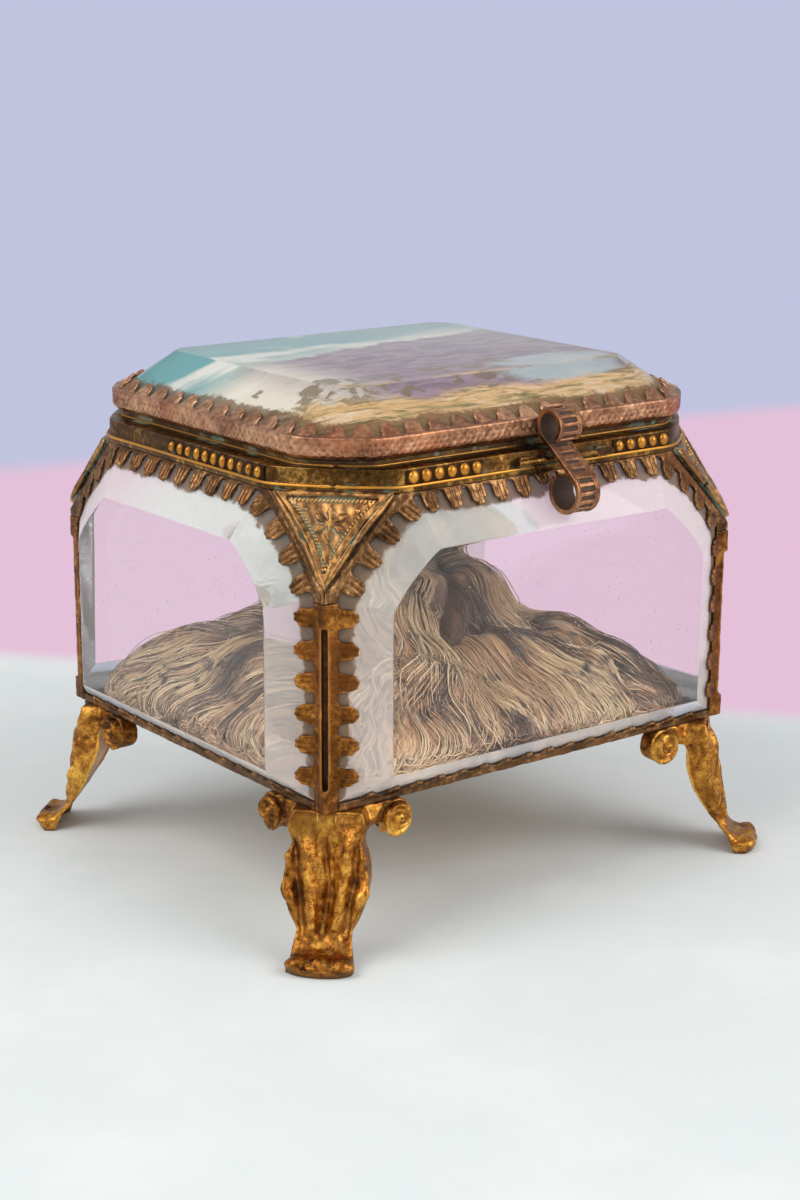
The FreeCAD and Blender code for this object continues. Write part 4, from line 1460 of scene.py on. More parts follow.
@dataclass
class Feet:
    """Cast cabriole feet with leaf relief and scroll ears. Places of the carving are in millimetres."""

    half_x: float = 38.0 * MM
    half_y: float = 34.0 * MM
    grain: float = 0.22 * MM
    rounds: int = 9
    rough: float = 0.05 * MM
    first_seed: int = 90
    rib: float = 0.66 * MM
    thin: float = 1.1 * MM
    vein: float = 0.95 * MM
    vee: float = 0.6 * MM
    uneven: Wander = Wander(0.07 * MM, 3.4 * MM, 53)
    toe_round: float = 1.7 * MM
    ball: float = 0.8 * MM
    lip: float = 0.9 * MM
    leg_half: float = 7.0
    leg_low: float = 3.6
    leg_high: float = 23.5
    leaf_low: float = 4.0
    leaf_high: float = 19.0
    leaf_at: float = 1.5
    flank_at: float = 3.0
    fold_at: float = 3.2
    vee_at: float = 14.2
    vee_slope: float = 1.05
    lip_at: float = 5.0
    lip_pitch: float = 3.1
    ear_at: float = 12.4
    ear_z: float = 18.64
    ear_r: float = 2.6
    ear_edge: float = 3.2
    scroll_pitch: float = 1.5
    soft_half: float = 6.5
    soft_low: float = 4.6
    soft_high: float = 19.5
    soft_rounds: int = 14

    def home(self, points: np.ndarray, corner: Corner) -> np.ndarray:
        """Places seen from the casket's corner.

        Args:
            points: Places on the foot.
            corner: Which foot.

        Returns:
            Distances outward along X and Y, and up, in millimetres.
        """
        sx, sy = corner.value
        return (points - np.array([sx * self.half_x, sy * self.half_y, 0.0])) / MM * np.array([sx, sy, 1.0])

    def ears(self, local: np.ndarray, facing: np.ndarray) -> np.ndarray:
        """Height of the domed scrolls on both ears.

        Args:
            local: Places seen from the corner.
            facing: Normals, turned in the same way.

        Returns:
            Height along each normal.
        """
        carved = np.zeros(len(local))
        for first, second in ((0, 1), (1, 0)):
            run = -local[:, first] - self.ear_at
            lift = local[:, 2] - self.ear_z
            radius = np.hypot(run, lift)
            scroll = np.cos(2 * math.pi * (radius / self.scroll_pitch) - np.arctan2(lift, run))
            inside = fall(radius, self.ear_edge, 0.4) * np.clip(facing[:, second] * 1.5, 0, 1)
            dome = np.clip(1.0 - (radius / self.ear_r) ** 2, -0.6, 1)
            carved += inside * (self.ball * dome + 0.5 * self.vein * scroll)
        return carved

    def relief(self, points: np.ndarray, normals: np.ndarray, corner: Corner) -> np.ndarray:
        """Height of the leaf carving.

        Args:
            points: Places on the foot.
            normals: Their normals.
            corner: Which foot.

        Returns:
            Height along each normal.
        """
        local = self.home(points, corner)
        facing = normals * np.array([*corner.value, 1.0])
        out = (local[:, 0] + local[:, 1]) / math.sqrt(2)
        across = (local[:, 0] - local[:, 1]) / math.sqrt(2)
        wide = np.abs(across)
        up = local[:, 2]
        leg = np.clip((facing[:, 0] + facing[:, 1]) / math.sqrt(2) * 1.7, 0, 1) * (wide < self.leg_half)
        leg = leg * rise(up, self.leg_low, 1.5) * fall(up, self.leg_high, 1.0)
        low = fall(up, self.leaf_high, 4.0)
        groove = ridge(across - 0.5 * np.sin(up * 0.45), 0.8) * low
        leaf = ridge(wide - self.leaf_at - 0.13 * (up - self.leaf_low), 0.85) * low
        flank = ridge(wide - self.flank_at - 0.12 * (up - self.leaf_low), 0.55) * low
        fold = np.cos(2 * math.pi * (up * 0.19 - wide * 0.16)) * rise(wide, self.fold_at, 1.2) * low
        vee = up - self.vee_at - self.vee_slope * wide
        arms = ridge(vee + 1.0, 1.0) * rise(up, 13.0, 2.0)
        hollow = 1.0 / (1.0 + np.exp(-(vee - 0.8) / 0.9))
        carved = leg * self.vein * (leaf - 0.9 * groove - 0.8 * flank + 0.6 * fold + 0.3 * arms)
        carved -= leg * self.vee * hollow
        carved += leg * self.uneven.at(points)
        lip = rise(normals[:, 2], -0.3, 1.0) * ridge(out - self.lip_at, 1.3) * fall(up, 4.0, 1.5)
        carved += lip * self.lip * (1.0 + 0.25 * np.cos(2 * math.pi * across / self.lip_pitch))
        return carved + self.ears(local, facing)

    def cast(self, mesh: bpy.types.Mesh, corner: Corner) -> None:
        """Sinks the middle rib into the leaf, hollows the back of the leg, rounds the toe and softens the front.

        Args:
            mesh: Foot to change.
            corner: Which foot.
        """
        points, normals = pick_all(mesh)
        way = np.array([*corner.value, 0.0]) / math.sqrt(2)
        local = self.home(points, corner)
        out = (local[:, 0] + local[:, 1]) / math.sqrt(2)
        wide = np.abs(local[:, 0] - local[:, 1]) / math.sqrt(2)
        up = local[:, 2]
        front = normals @ way
        sink = self.rib * fall(wide, 1.3, 0.5) * rise(up, 4.4, 0.6) * (front > -0.3)
        behind = (front < -0.3) * (wide < self.leg_half)
        back = self.thin * rise(up, self.leaf_low, 4.0) * fall(up, self.leaf_high, 3.0) * behind
        toe = rise(wide, 1.2, 3.5) ** 2 * rise(out, 1.5, 3.0) * fall(up, 5.0, 1.5)
        put_all(mesh, points + way * (back - sink - self.toe_round * toe)[:, None])
        work = bmesh.new()
        work.from_mesh(mesh)
        leaf = (wide < self.soft_half) & (up > self.soft_low) & (up < self.soft_high) & (front > -0.4)
        soft = [vert for vert in work.verts if leaf[vert.index]]
        for _ in range(self.soft_rounds):
            bmesh.ops.smooth_vert(
                work, verts=soft, factor=SOFT_STEP, use_axis_x=True, use_axis_y=True, use_axis_z=True)
        work.to_mesh(mesh)
        work.free()
        mesh.update()

    def build(self, brass: bpy.types.Material) -> None:
        """Casts and dresses the four feet.

        Args:
            brass: Their finish.
        """
        for number, corner in enumerate(Corner):
            node = "foot_" + corner.tag
            piece = forged(node, node + "_cast", self.grain, self.rounds, self.rough, self.first_seed + number)
            self.cast(piece.data, corner)
            points, normals = pick_all(piece.data)
            points = points + normals * self.relief(points, normals, corner)[:, None]
            points[:, 2] = np.maximum(points[:, 2], 0.0)
            put_all(piece.data, points)
            dress(piece, Body.CASKET, Slot.FOOT, brass, stands_for=[node])


@dataclass
class Lid:
    """Hinged lid: pronged rim, bevelled glass in touch with a tinted print, and the print's sheet."""

    grain: float = 0.17 * MM
    rounds: int = 3
    rough: float = 0.06 * MM
    seed: int = 40
    arris: float = 0.16 * MM
    arris_steps: int = 2
    bevel_rise: float = 5.4 * MM
    sheet_edge: float = 0.04 * MM
    punch_pitch: float = 1.15 * MM
    punch_rise: float = 0.7 * MM
    punch_low: float = 0.7 * MM
    punch_rows: int = 3
    punch_r: float = 0.3 * MM
    punch_fade: float = 1.3
    punch_depth: float = 0.1 * MM
    punch_wander: float = 0.12
    punch_wander_length: float = 0.9 * MM
    punch_clear: float = 30.0 * MM
    soot: float = 0.4
    soot_change: Wander = Wander(0.35, 5.0 * MM, 48)

    def punch(self, rim: bpy.types.Object) -> None:
        """Rows of small punch marks on the face of the rim.

        Args:
            rim: Rim to mark.
        """
        points, normals = pick_all(rim.data)
        low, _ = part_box("lid_rim")
        eighth = math.pi / 4
        turn = np.round(np.arctan2(normals[:, 1], normals[:, 0]) / eighth) * eighth
        along = points[:, 1] * np.cos(turn) - points[:, 0] * np.sin(turn)
        height = points[:, 2] - low.z - self.punch_low
        row = np.round(height / self.punch_rise)
        wander = self.punch_wander * np.sin(along / self.punch_wander_length)
        mid = along / self.punch_pitch + 0.5 * (row % 2) + wander
        away = np.hypot((mid - np.round(mid)) * self.punch_pitch, height - row * self.punch_rise)
        mark = np.clip(self.punch_fade - away / self.punch_r, 0, 1) * (np.abs(normals[:, 2]) < 0.5)
        mark *= (row >= 0) & (row < self.punch_rows)
        mark *= np.hypot(points[:, 0], points[:, 1]) > self.punch_clear
        put_all(rim.data, points - normals * (mark * self.punch_depth)[:, None])
        soot = (self.soot + self.soot_change.at(points)).clip(0, 1)
        store(rim.data, "punch", mark * soot)

    def glass(self, clear: bpy.types.Material, picture: bpy.types.Material) -> None:
        """Makes the lid glass, whose underside shows the print.

        Args:
            clear: Glass finish.
            picture: Finish of the print.
        """
        piece = chamfered("lid_glass", "lid_slab", self.arris, self.arris_steps, GLASS_ANGLE)
        points, _ = pick_all(piece.data)
        store(piece.data, "rim", (points[:, 2].max() - points[:, 2]) / self.bevel_rise)
        dress(piece, Body.LID, Slot.LID_GLASS, clear, picture, stands_for=["lid_glass"])
        for face in piece.data.polygons:
            face.material_index = int(face.normal.z < -0.9)

    def sheet(self, picture: bpy.types.Material, paper: bpy.types.Material) -> None:
        """Makes the printed sheet with its backing.

        Args:
            picture: Finish of its face.
            paper: Finish of its back.
        """
        piece = eased("lid_print", "lid_sheet", self.sheet_edge, 1)
        dress(piece, Body.LID, Slot.PRINT, picture, paper, stands_for=["lid_print"])
        for face in piece.data.polygons:
            face.material_index = int(face.normal.z <= 0.5)

    def build(self, brass: bpy.types.Material, clear: bpy.types.Material, picture: bpy.types.Material,
              paper: bpy.types.Material) -> None:
        """Makes and dresses the lid.

        Args:
            brass: Finish of the rim.
            clear: Glass finish.
            picture: Finish of the print.
            paper: Finish of its back.
        """
        rim = forged("lid_rim", "lid_rim_prongs", self.grain, self.rounds, self.rough, self.seed)
        self.punch(rim)
        dress(rim, Body.LID, Slot.LID, brass, stands_for=["lid_rim"])
        self.glass(clear, picture)
        self.sheet(picture, paper)


@dataclass
class Fittings:
    """Clasp with its cradle and catch wire, and the hinge."""

    edge: float = 0.1 * MM
    grain: float = 0.1 * MM
    rounds: int = 2
    rough: float = 0.02 * MM
    seed: int = 60
    upper_y: float = -35.19 * MM
    upper_r: float = 2.45 * MM
    lower_r: float = 3.05 * MM
    curl_out: float = 0.4
    curl_in: float = -0.35
    rung: float = 0.13 * MM
    rung_half: float = 1.3 * MM
    rung_pitch: float = 1.35 * MM
    rung_fade: float = 0.15 * MM
    bead_from: float = 1.5 * MM
    bead_fade: float = 0.2 * MM
    bead: float = 0.1 * MM
    blackening: float = 0.92

    def ladder(self, clasp: bpy.types.Object) -> None:
        """Sinks rungs into the bar of the clasp, raises its edges and blackens rungs and the inside of the curls,
        where the black is painted shade with dirt.

        Args:
            clasp: Clasp to change.
        """
        low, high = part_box("clasp")
        points, normals = pick_all(clasp.data)
        beside = np.abs(points[:, 0] - (low.x + high.x) / 2)
        upper = np.array([self.upper_y, high.z - self.upper_r])
        lower = np.array([low.y + self.lower_r, low.z + self.lower_r])
        black = np.zeros(len(points), bool)
        outer = np.zeros(len(points), bool)
        curled = np.zeros(len(points), bool)
        for middle, radius in ((upper, self.upper_r), (lower, self.lower_r)):
            spoke = points[:, 1:] - middle
            away = np.linalg.norm(spoke, axis=1)
            facing = np.sum(normals[:, 1:] * spoke, axis=1) / np.maximum(away, TINY)
            here = away < radius + self.rung
            curled |= here
            outer |= here & (facing > self.curl_out)
            # Faces inside the curls are blacked: painted shade with dirt.
            black |= here & (facing < self.curl_in)
            black |= here & (facing > self.curl_out) & (away < radius - self.rung) & (beside < self.rung_half)
        along = (lower - upper) / np.linalg.norm(lower - upper)
        gone = (points[:, 1:] - upper) @ along
        front = ~curled & (normals[:, 1:] @ np.array([along[1], -along[0]]) > 0.5)
        dent = np.clip(1.6 * np.cos(2 * math.pi * gone / self.rung_pitch) - 0.2, 0, 1)
        dent *= front * fall(beside, self.rung_half, self.rung_fade)
        raised = rise(beside, self.bead_from, self.bead_fade) * (outer | front)
        lift = self.bead * raised - self.rung * dent
        put_all(clasp.data, points + normals * lift[:, None])
        # Kept under punch: the blackened rungs, and the painted shade with dirt inside the curls.
        store(clasp.data, "punch", np.maximum(black, dent) * self.blackening)

    def build(self, lid_brass: bpy.types.Material, band_brass: bpy.types.Material,
              clasp_brass: bpy.types.Material) -> None:
        """Makes and dresses the small moving fittings.

        Args:
            lid_brass: Finish of what the lid carries.
            band_brass: Finish of what the casket carries.
            clasp_brass: Finish of the clasp.
        """
        clasp = forged("clasp", "clasp_scroll", self.grain, self.rounds, self.rough, self.seed)
        self.ladder(clasp)
        dress(clasp, Body.CLASP, Slot.LID, clasp_brass, stands_for=["clasp"])
        for node, name in (("clasp_cradle", "clasp_seat"), ("hinge_leaf_lid", "hinge_upper_leaf")):
            dress(eased(node, name, self.edge), Body.LID, Slot.LID, lid_brass, stands_for=[node])
        for node, name in (
                ("catch_wire", "catch_bar"), ("hinge_leaf_body", "hinge_lower_leaf"), ("hinge_pin", "hinge_rod")):
            dress(eased(node, name, self.edge), Body.CASKET, Slot.BAND, band_brass, stands_for=[node])


@dataclass
class Threads:
    """Loose threads that are gathered into one mesh."""

    name: str
    sides: int = 3
    points: list[Vector] = field(default_factory=list)
    faces: list[tuple[int, ...]] = field(default_factory=list)
    shades: list[float] = field(default_factory=list)
    turns: list[float] = field(default_factory=list)

    def add(self, line: list[Vector], radius: float, shades: list[float], turn: float) -> None:
        """Adds one closed thread.

        Args:
            line: Its points.
            radius: Its radius.
            shades: How light it is at each point.
            turn: Angle round the crown at which it hangs.
        """
        start = len(self.points)
        for ring, shade in zip(hoops(line, radius, self.sides), shades):
            self.points += ring
            self.shades += [shade] * self.sides
            self.turns += [turn] * self.sides
        end = len(self.points) - self.sides
        for low in range(start, end, self.sides):
            high = low + self.sides
            for step in range(self.sides):
                after = (step + 1) % self.sides
                self.faces.append((low + step, low + after, high + after, high + step))
        self.faces.append(tuple(reversed(range(start, start + self.sides))))
        self.faces.append(tuple(range(end, end + self.sides)))

    def piece(self) -> bpy.types.Object:
        """Makes the mesh.

        Returns:
            The piece.
        """
        mesh = bpy.data.meshes.new(self.name)
        mesh.from_pydata(self.points, [], self.faces)
        mesh.shade_smooth()
        comb(mesh, np.array(self.shades), np.array(self.turns))
        return link(self.name, mesh)


@dataclass
class Cushion:
    """Crowned silk pad, drawn into lobes and combed from its crown outward, with loose wavy threads."""

    shrink: float = 0.985
    voxel: float = 1.25 * MM
    fine: float = 0.45 * MM
    fine_rounds: int = 4
    scale: float = 10.0
    cap: float = 1.6 * MM
    cloth_frames: int = 20
    cloth_quality: int = 5
    cloth_mass: float = 0.3
    cloth_stiffness: float = 12.0
    cloth_bending: float = 0.4
    cloth_pressure: float = 4.0
    rings: tuple[tuple[int, float, float], ...] = ((1, 0.0, 0.3), (5, 15.0, 0.5), (9, 28.0, 0.1))
    ring_seed: int = 31
    ring_shift: float = 0.2
    ring_reach: tuple[float, float] = (0.88, 1.1)
    flatten: float = 0.88
    crease: float = 2.0 * MM
    crease_width: float = 1.9 * MM
    crease_bends: tuple[Wander, Wander] = (Wander(1.6 * MM, 13.0 * MM, 7), Wander(1.6 * MM, 13.0 * MM, 8))
    wave: Wander = Wander(0.9 * MM, 15.0 * MM, 5)
    swirl: Wander = Wander(0.07, 30.0 * MM, 9)
    mottle: Wander = Wander(0.12, 17.0 * MM, 12)
    pad_shade: float = 0.5
    pad_crease_shade: float = 0.5
    pad_crown_shade: float = 0.25
    skirt: float = 3.0 * MM
    skirt_fade: float = 4.0 * MM
    locks: int = 500
    lock_seed: int = 417
    lock_turn: float = 0.618
    lock_inner: float = 0.06
    lock_outer: float = 0.9
    lock_length: tuple[float, float] = (12.0, 28.0)
    lock_width: tuple[float, float] = (1.0, 2.4)
    lock_slope: float = -0.5
    lock_aim: float = 0.12
    lock_swing: float = 0.68
    lock_swing_change: Wander = Wander(0.3, 26.0 * MM, 21)
    lock_swing_own: float = 0.06
    lock_wave: float = 16.0 * MM
    lock_wave_change: Wander = Wander(3.0 * MM, 30.0 * MM, 22)
    lock_phase: Wander = Wander(2.6, 24.0 * MM, 23)
    lock_phase_own: float = 0.25
    lock_shade: float = 0.86
    lock_shade_change: Wander = Wander(0.7, 9.0 * MM, 33)
    lock_shade_own: float = 0.07
    strands: int = 18
    strand_least: int = 5
    strand_thick: tuple[float, float] = (0.6, 1.2)
    strand_shade: float = 0.1
    ragged: int = 4
    bulge: float = 0.8 * MM
    stray: float = 0.9 * MM
    clear: float = 0.02 * MM
    hem: float = 0.5 * MM
    top_shade: float = 0.45
    step: float = 1.4 * MM
    radius: float = 0.085 * MM
    above: float = 10.0 * MM

    def plump(self, piece: bpy.types.Object) -> None:
        """Swells the pad by pressure under a cloth skin, within the cap.

        Args:
            piece: Closed pad.
        """
        rest, _ = pick_all(piece.data)
        put_all(piece.data, rest * self.scale)
        cloth = piece.modifiers.new("cloth", "CLOTH")
        cloth.settings.quality = self.cloth_quality
        cloth.settings.mass = self.cloth_mass
        cloth.settings.tension_stiffness = self.cloth_stiffness
        cloth.settings.compression_stiffness = self.cloth_stiffness
        cloth.settings.bending_stiffness = self.cloth_bending
        cloth.settings.use_pressure = True
        cloth.settings.uniform_pressure_force = self.cloth_pressure
        cloth.settings.effector_weights.gravity = 0.0
        cloth.point_cache.frame_end = self.cloth_frames
        stage = bpy.context.scene
        for number in range(1, self.cloth_frames + 1):
            stage.frame_set(number)
        graph = bpy.context.evaluated_depsgraph_get()
        held = bpy.data.meshes.new_from_object(piece.evaluated_get(graph))
        swollen, _ = pick_all(held)
        bpy.data.meshes.remove(held)
        piece.modifiers.clear()
        stage.frame_set(1)
        move = swollen / self.scale - rest
        far = np.linalg.norm(move, axis=1, keepdims=True)
        move *= np.minimum(1.0, self.cap / np.maximum(far, TINY))
        put_all(piece.data, rest + move)

    def lobes(self) -> np.ndarray:
        """Middles of the lobes, in rings round the crown.

        Returns:
            Two columns, X and Y.
        """
        rng = random.Random(self.ring_seed)
        spots = []
        for count, reach, start in self.rings:
            for index in range(count):
                angle = start + 2 * math.pi * (index + rng.uniform(-self.ring_shift, self.ring_shift)) / count
                away = reach * MM * rng.uniform(*self.ring_reach)
                spots.append((away * math.cos(angle), away * self.flatten * math.sin(angle)))
        return np.array(spots)

    def creases(self, points: np.ndarray) -> np.ndarray:
        """How near each place lies to a crease between two lobes.

        Args:
            points: Places on the pad.

        Returns:
            Values from 0 to 1 in the crease.
        """
        warped = points[:, :2] + np.stack([bend.at(points) for bend in self.crease_bends], axis=1)
        away = np.sort(np.linalg.norm(warped[:, None, :] - self.lobes()[None], axis=2), axis=1)
        return np.exp((away[:, 0] - away[:, 1]) / self.crease_width)

    def pad(self) -> bpy.types.Object:
        """Pad with its lobes.

        Returns:
            The piece.
        """
        piece = copied("cushion", "cushion_pad")
        low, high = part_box("cushion")
        foot = np.array([(low.x + high.x) / 2, (low.y + high.y) / 2, low.z])
        points, _ = pick_all(piece.data)
        put_all(piece.data, foot + (points - foot) * self.shrink)
        melt(piece, self.voxel)
        bake(piece, None)
        self.plump(piece)
        piece.modifiers.new("finer", "SUBSURF").levels = 1
        melt(piece, self.fine)
        soften(piece, self.fine_rounds)
        bake(piece, None)
        points, normals = pick_all(piece.data)
        fold = self.creases(points)
        side = rise(points[:, 2], low.z + self.skirt, self.skirt_fade)
        lift = self.wave.at(points) - self.crease * fold
        points = points + normals * (lift * side)[:, None]
        points = np.clip(points, np.array(low), np.array(high))
        put_all(piece.data, points)
        turns = np.arctan2(points[:, 1] / self.flatten, points[:, 0]) + self.swirl.at(points)
        # Painted shade: darker in the creases between lobes and towards the crown, where it is partly the silk's
        # own darker tone; random mottling added.
        height = (points[:, 2] - low.z) / (high.z - low.z)
        shades = self.pad_shade - self.pad_crease_shade * fold - self.pad_crown_shade * height
        comb(piece.data, shades + self.mottle.at(points), turns)
        return piece

    def guide(self, tree: BVHTree, start: Vector, length: float, rng: random.Random) -> Path:
        """Wavy path of a lock down the pad.

        Args:
            tree: Surface of the pad.
            start: Where it begins.
            length: Its length.
            rng: Source of its waves.

        Returns:
            Points on the pad and the normals there.
        """
        low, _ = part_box("cushion")
        spot = np.array([start[:]])
        aim = math.atan2(start.y, start.x) + rng.gauss(0, self.lock_aim)
        swing = self.lock_swing + self.lock_swing_change.at(spot)[0] + rng.gauss(0, self.lock_swing_own)
        wave = self.lock_wave + self.lock_wave_change.at(spot)[0]
        phase = self.lock_phase.at(spot)[0] + rng.gauss(0, self.lock_phase_own)
        place, normal, _, _ = tree.find_nearest(start)
        path = [(place, normal)]
        for index in range(int(length / self.step)):
            gone = start.xy.length + index * self.step
            turn = aim + swing * math.sin(2 * math.pi * gone / wave + phase)
            way = Vector((math.cos(turn), math.sin(turn), self.lock_slope))
            way -= normal * way.dot(normal)
            place, normal, _, _ = tree.find_nearest(place + way.normalized() * self.step)
            if place.z < low.z + self.hem:
                break
            path.append((place, normal))
        return path

    def strand(self, tree: BVHTree, path: Path, width: float, rng: random.Random) -> list[Vector]:
        """Line of one thread of a lock.

        Args:
            tree: Surface of the pad.
            path: Path of the lock.
            width: Half its width.
            rng: Source of the thread's place in it.

        Returns:
            Points of the thread.
        """
        beside = rng.uniform(-1, 1)
        lift = self.bulge * (1 - beside ** 2) * rng.uniform(0.5, 1.0) + rng.random() ** 9 * self.stray
        first = rng.randrange(0, self.ragged)
        last = len(path) - rng.randrange(0, self.ragged)
        line = []
        for index in range(first, last):
            place, normal = path[index]
            along = path[min(index + 1, len(path) - 1)][0] - path[max(index - 1, 0)][0]
            side = normal.cross(along).normalized()
            gone = (index - first + 0.5) / (last - first)
            spread = width * beside * (0.7 + 0.5 * gone)
            spot, upward, _, _ = tree.find_nearest(place + side * spread)
            line.append(spot + upward * (lift * math.sin(math.pi * gone) ** 0.4 + self.clear))
        return line

    def heap(self, pad: bpy.types.Object) -> list[bpy.types.Object]:
        """Locks of loose wavy threads that fall from the crown over the sides.

        Args:
            pad: Pad that they lie on.

        Returns:
            The pieces, one for each quarter of the pad.
        """
        rng = random.Random(self.lock_seed)
        tree = BVHTree.FromObject(pad, bpy.context.evaluated_depsgraph_get())
        low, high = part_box("cushion")
        quarters = [Threads("cushion_threads_" + tag) for tag in ("br", "bl", "fl", "fr")]
        for number in range(self.locks):
            angle = 2 * math.pi * (number * self.lock_turn % 1.0)
            share = self.lock_inner + self.lock_outer * math.sqrt((number + 0.5) / self.locks)
            reach = share / max(abs(math.cos(angle)) / high.x, abs(math.sin(angle)) / high.y)
            over = Vector((reach * math.cos(angle), reach * math.sin(angle), high.z + self.above))
            start, _, _, _ = tree.ray_cast(over, Vector((0, 0, -1)))
            if start is None:
                continue
            path = self.guide(tree, start, rng.uniform(*self.lock_length) * MM, rng)
            width = rng.uniform(*self.lock_width) * MM
            bright = self.lock_shade + self.lock_shade_change.at(np.array([start[:]]))[0]
            bright += rng.gauss(0, self.lock_shade_own)
            for _ in range(self.strands):
                line = self.strand(tree, path, width, rng)
                if len(line) >= self.strand_least:
                    radius = self.radius * rng.uniform(*self.strand_thick)
                    own = bright + rng.gauss(0, self.strand_shade)
                    # Each thread darker towards the top: painted shade, partly the silk's own darker tone.
                    shades = [own - self.top_shade * (spot.z - low.z) / (high.z - low.z) for spot in line]
                    quarters[int(angle / (math.pi / 2))].add(line, radius, shades, angle)
        return [quarter.piece() for quarter in quarters]

    def build(self, silk: bpy.types.Material) -> None:
        """Makes and dresses the cushion.

        Args:
            silk: Its finish.
        """
        pad = self.pad()
        dress(pad, Body.CASKET, Slot.SILK, silk, stands_for=["cushion"])
        for quarter in self.heap(pad):
            dress(quarter, Body.CASKET, Slot.SILK, silk)


@dataclass(frozen=True)
class Lamp:
    """Square soft lamp that looks at the casket."""

    name: str
    place: Place
    size: float
    power: float
    colour: Color
    aim: Place = (0.0, 0.0, 0.03)

    def hang(self) -> None:
        """Puts the lamp into the scene."""
        data = bpy.data.lights.new(self.name, "AREA")
        data.shape = "SQUARE"
        data.size = self.size
        data.energy = self.power
        data.color = self.colour
        lamp = bpy.data.objects.new(self.name, data)
        bpy.context.scene.collection.objects.link(lamp)
        lamp.location = self.place
        lamp.rotation_mode = "QUATERNION"
        lamp.rotation_quaternion = (Vector(self.aim) - Vector(self.place)).to_track_quat("-Z", "Y")


@dataclass
class Studio:
    """Pale floor, soft light and the camera."""

    eye: Place = (-0.2055, -0.2686, 0.1287)
    aim: Place = (0.00036, -0.00072, 0.03855)
    roll: float = 0.32
    lens: float = 67.44
    sensor: float = 36.0
    clip_start: float = 0.01
    clip_end: float = 20.0
    floor_r: float = 4.0
    floor_sides: int = 96
    board: Color = tone(232, 238, 237)
    board_light: Color = tone(240, 244, 243)
    board_scale: float = 28.0
    table: Color = tone(228, 193, 216)
    wall: Color = tone(193, 196, 223)
    board_way: Place = (0.786, 0.618, 0.0)
    board_end: float = 0.077
    board_blur: float = 0.006
    wall_way: Place = (0.229, 0.973, 0.0)
    wall_start: float = 0.305
    wall_blur: float = 0.016
    fill: Color = (0.95, 0.96, 1.0)
    fill_power: float = 0.55
    lamps: tuple[Lamp, ...] = (
        Lamp("window", (-0.62, 0.05, 0.62), 0.62, 3.3, (1.0, 0.98, 0.95)),
        Lamp("card", (0.4, -0.8, 0.55), 0.8, 5.6, (1.0, 0.99, 0.97)))

    def beyond(self, g: Graph, way: Place, start: float, blur: float) -> bpy.types.NodeSocket:
        """Mask of the floor beyond a straight line.

        Args:
            g: Graph of the floor.
            way: Direction across the line.
            start: How far from the middle the line is.
            blur: Half the width of its soft edge.

        Returns:
            The mask.
        """
        along = g.node("ShaderNodeVectorMath", operation="DOT_PRODUCT")
        g.feed(along.inputs[0], g.place)
        along.inputs[1].default_value = way
        return g.between(along.outputs["Value"], start - blur, start + blur)

    def floor(self) -> None:
        """Lays the floor: a pale board, then the table and the wall far behind."""
        work = bmesh.new()
        bmesh.ops.create_circle(work, cap_ends=True, segments=self.floor_sides, radius=self.floor_r)
        piece = settle(work, "floor")
        g = Graph("floor_paint")
        base = g.mix(g.between(g.noise(self.board_scale, 4, 0.6), 0.4, 0.7), self.board, self.board_light)
        off_board = self.beyond(g, self.board_way, self.board_end, self.board_blur)
        base = g.mix(off_board, base, self.table)
        base = g.mix(self.beyond(g, self.wall_way, self.wall_start, self.wall_blur), base, self.wall)
        lit = g.surface(Base_Color=base, Roughness=0.9)
        flat = g.node("ShaderNodeEmission")
        g.feed(flat.inputs["Color"], base)
        path = g.node("ShaderNodeLightPath")
        seen = g.calc("MAXIMUM", path.outputs["Is Camera Ray"], path.outputs["Is Transmission Ray"])
        piece.data.materials.append(g.close(g.blended(g.times(seen, off_board), lit, flat.outputs[0])))

    def light(self) -> None:
        """Fills the room from all round and hangs the lamps."""
        world = bpy.data.worlds.new("room")
        bpy.context.scene.world = world
        world.use_nodes = True
        nodes, links = world.node_tree.nodes, world.node_tree.links
        nodes.clear()
        path = nodes.new("ShaderNodeLightPath")
        direct = nodes.new("ShaderNodeMath")
        direct.operation = "MAXIMUM"
        links.new(path.outputs["Is Camera Ray"], direct.inputs[0])
        links.new(path.outputs["Is Transmission Ray"], direct.inputs[1])
        mix = nodes.new("ShaderNodeMixShader")
        links.new(direct.outputs[0], mix.inputs[0])
        for place, colour, power in ((1, self.fill, self.fill_power), (2, self.wall, 1.0)):
            shell = nodes.new("ShaderNodeBackground")
            shell.inputs["Color"].default_value = (*colour, 1.0)
            shell.inputs["Strength"].default_value = power
            links.new(shell.outputs[0], mix.inputs[place])
        links.new(mix.outputs[0], nodes.new("ShaderNodeOutputWorld").inputs["Surface"])
        for lamp in self.lamps:
            lamp.hang()

    def camera(self) -> None:
        """Sets up the camera at the photograph's angle."""
        data = bpy.data.cameras.new("camera")
        data.lens = self.lens
        data.sensor_width = self.sensor
        data.clip_start = self.clip_start
        data.clip_end = self.clip_end
        piece = bpy.data.objects.new("camera", data)
        bpy.context.scene.collection.objects.link(piece)
        piece.location = self.eye
        look = (Vector(self.aim) - Vector(self.eye)).to_track_quat("-Z", "Y").to_matrix().to_4x4()
        piece.rotation_mode = "QUATERNION"
        piece.rotation_quaternion = (look @ Matrix.Rotation(math.radians(self.roll), 4, "Z")).to_quaternion()
        bpy.context.scene.camera = piece

    def build(self) -> None:
        """Sets up the whole studio."""
        bpy.context.scene.view_settings.view_transform = "Standard"
        self.floor()
        self.light()
        self.camera()


